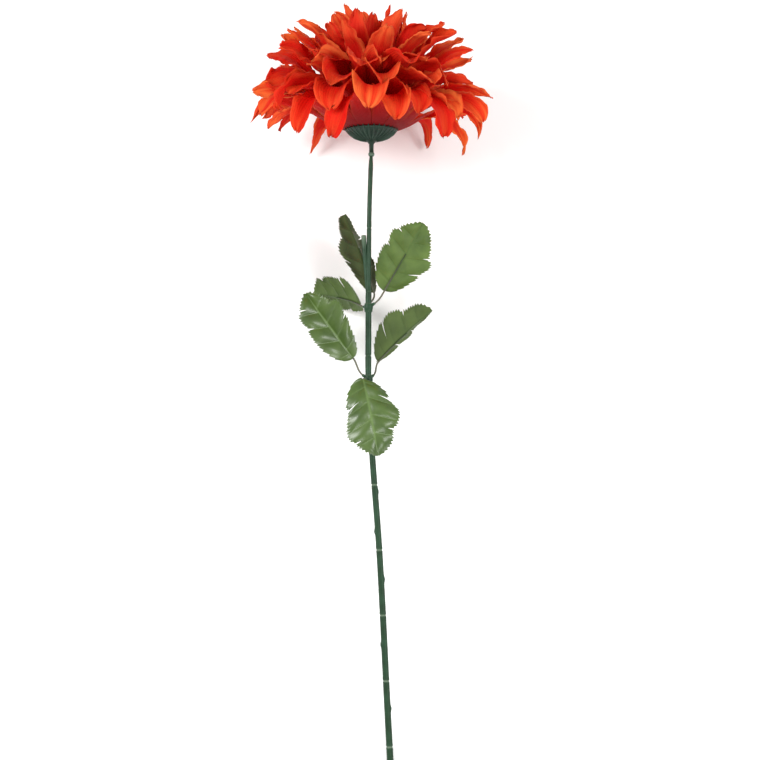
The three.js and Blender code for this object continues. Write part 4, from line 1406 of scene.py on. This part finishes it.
# %% The leaf ribs
COLLARS = {"lower": 366.0, "upper": 433.0}  # height of each collar up the standing stem
RIB_R, RIB_TIP_R, RIB_SHARE = 0.85, 0.4, 0.55  # radii, and how far along the blade a rib runs
RIB_UNDER = 1.35  # how far the rib's middle lies under the middle of the cloth
STUB_OUT = 6.6  # where a stalk starts, from the axis of its collar
STALK_POINTS, MIDRIB_POINTS = 14, 16


def stub_of(name):
    """Centre of the leaf's collar, and the direction in which its stub leaves."""
    centre = stem_at(COLLARS[LEAVES[name][0]])
    away = np.array(LEAVES[name][1], float) - centre
    rise = float(np.clip(away[2] / 20, -0.2, 0.7))
    away = unit([away[0], away[1], 0])
    return centre, unit([away[0], away[1], rise])


def rod_along(name, line, radii, pale):
    """A rod along a path in standing millimetres, with a radius and a paleness at each point."""
    source = new_object(
        name,
        lie(line),
        edges=[(k, k + 1) for k in range(len(line) - 1)],
        attributes={"thick": np.asarray(radii) / 1000, "stress_and_highlight": pale},
    )
    run_tree(source, rod_tree, {"Sides": 10, "Plastic": rib_plastic})
    return evaluated(source, name)


def leaf_rib(name):
    """Stalk and midrib of one leaf."""
    at, facing, _, length = leaf_frame(name)
    centre, away = stub_of(name)
    start = centre + away * STUB_OUT

    def under(s):
        return at(s) - facing(s) * RIB_UNDER

    first, lead = under(0.0), unit(under(1.0) - under(0.0))
    reach = 0.4 * np.linalg.norm(first - start)
    b = np.array([start, start + away * reach, first - lead * reach, first])
    u = np.linspace(0, 1, STALK_POINTS + 1)[:-1, None]
    stalk = (
        (1 - u) ** 3 * b[0] + 3 * u * (1 - u) ** 2 * b[1] + 3 * u**2 * (1 - u) * b[2] + u**3 * b[3]
    )
    run = np.linspace(0, RIB_SHARE * length, MIDRIB_POINTS)
    line = np.concatenate([stalk, under(run)])
    thins = np.linspace(RIB_R, RIB_TIP_R, MIDRIB_POINTS)
    thick = np.concatenate([np.full(STALK_POINTS, RIB_R), thins])
    # The stalk is rubbed pale by handling, the midrib less and less.
    pale = np.concatenate([np.full(STALK_POINTS, 0.95), np.linspace(0.6, 0, MIDRIB_POINTS)])
    rod = rod_along(name + "_stalk", line, thick, pale)
    return finish_piece(rod, "rib_plastic", name + "_rib")


stalks = [leaf_rib(name) for name in LEAVES]
print("leaf ribs:", sum(len(s.data.polygons) for s in stalks), "faces")

# %% [markdown]
# ## The leaf collars
#
# Each sprig of leaves is plugged on a short moulded collar round the stem, with one stub for each
# leaf. The collar is a lofted ring that turns back on itself, and the stubs are short lofted pegs.

# %% Collars
COLLAR_SIDES, STUB_SIDES = 32, 16
COLLAR_PROFILE = [  # height over its middle, radius, paleness; from the bore's foot out and up
    (-4.2, 2.9, 0.3), (-4.4, 3.2, 0.3), (-4.0, 3.6, 0.1), (-1.5, 4.1, 0), (0.0, 4.25, 0),
    (2.0, 4.0, 0), (3.6, 3.5, 0.1), (4.3, 3.2, 0.5), (4.1, 2.9, 0.4),
]  # fmt: skip
STUB_PROFILE = [  # distance from the collar's axis, radius, paleness
    (2.9, 1.5, 0), (5.2, 1.45, 0), (6.4, 1.4, 0.2), (7.2, 1.25, 0.5), (7.4, 1.0, 0.4),
]  # fmt: skip


def leaf_collar(which):
    """A moulded ring with its stubs."""
    centre, upright = stem_at(COLLARS[which]), (0, 0, 1)
    rings = [
        circle(centre + [0, 0, h], upright, np.full(COLLAR_SIDES, r)) for h, r, _ in COLLAR_PROFILE
    ]
    stress_and_highlight = [pale for _, _, pale in COLLAR_PROFILE]
    parts = [loft(which + "_ring", rings, stress_and_highlight, closed=True)]
    for name, leaf in LEAVES.items():
        if leaf[0] != which:
            continue
        centre, away = stub_of(name)
        rings = [
            circle(centre + away * d, away, np.full(STUB_SIDES, r), upright)
            for d, r, _ in STUB_PROFILE
        ]
        parts.append(loft(name + "_stub", rings, [pale for _, _, pale in STUB_PROFILE]))
    collar = join(which + "_sprig_collar", parts)
    collar.data.materials.append(stem_plastic)
    return finish_piece(collar, "green_plastic", which + "_leaf_collar")


collars = [leaf_collar(which) for which in COLLARS]
print("collars:", len(collars))
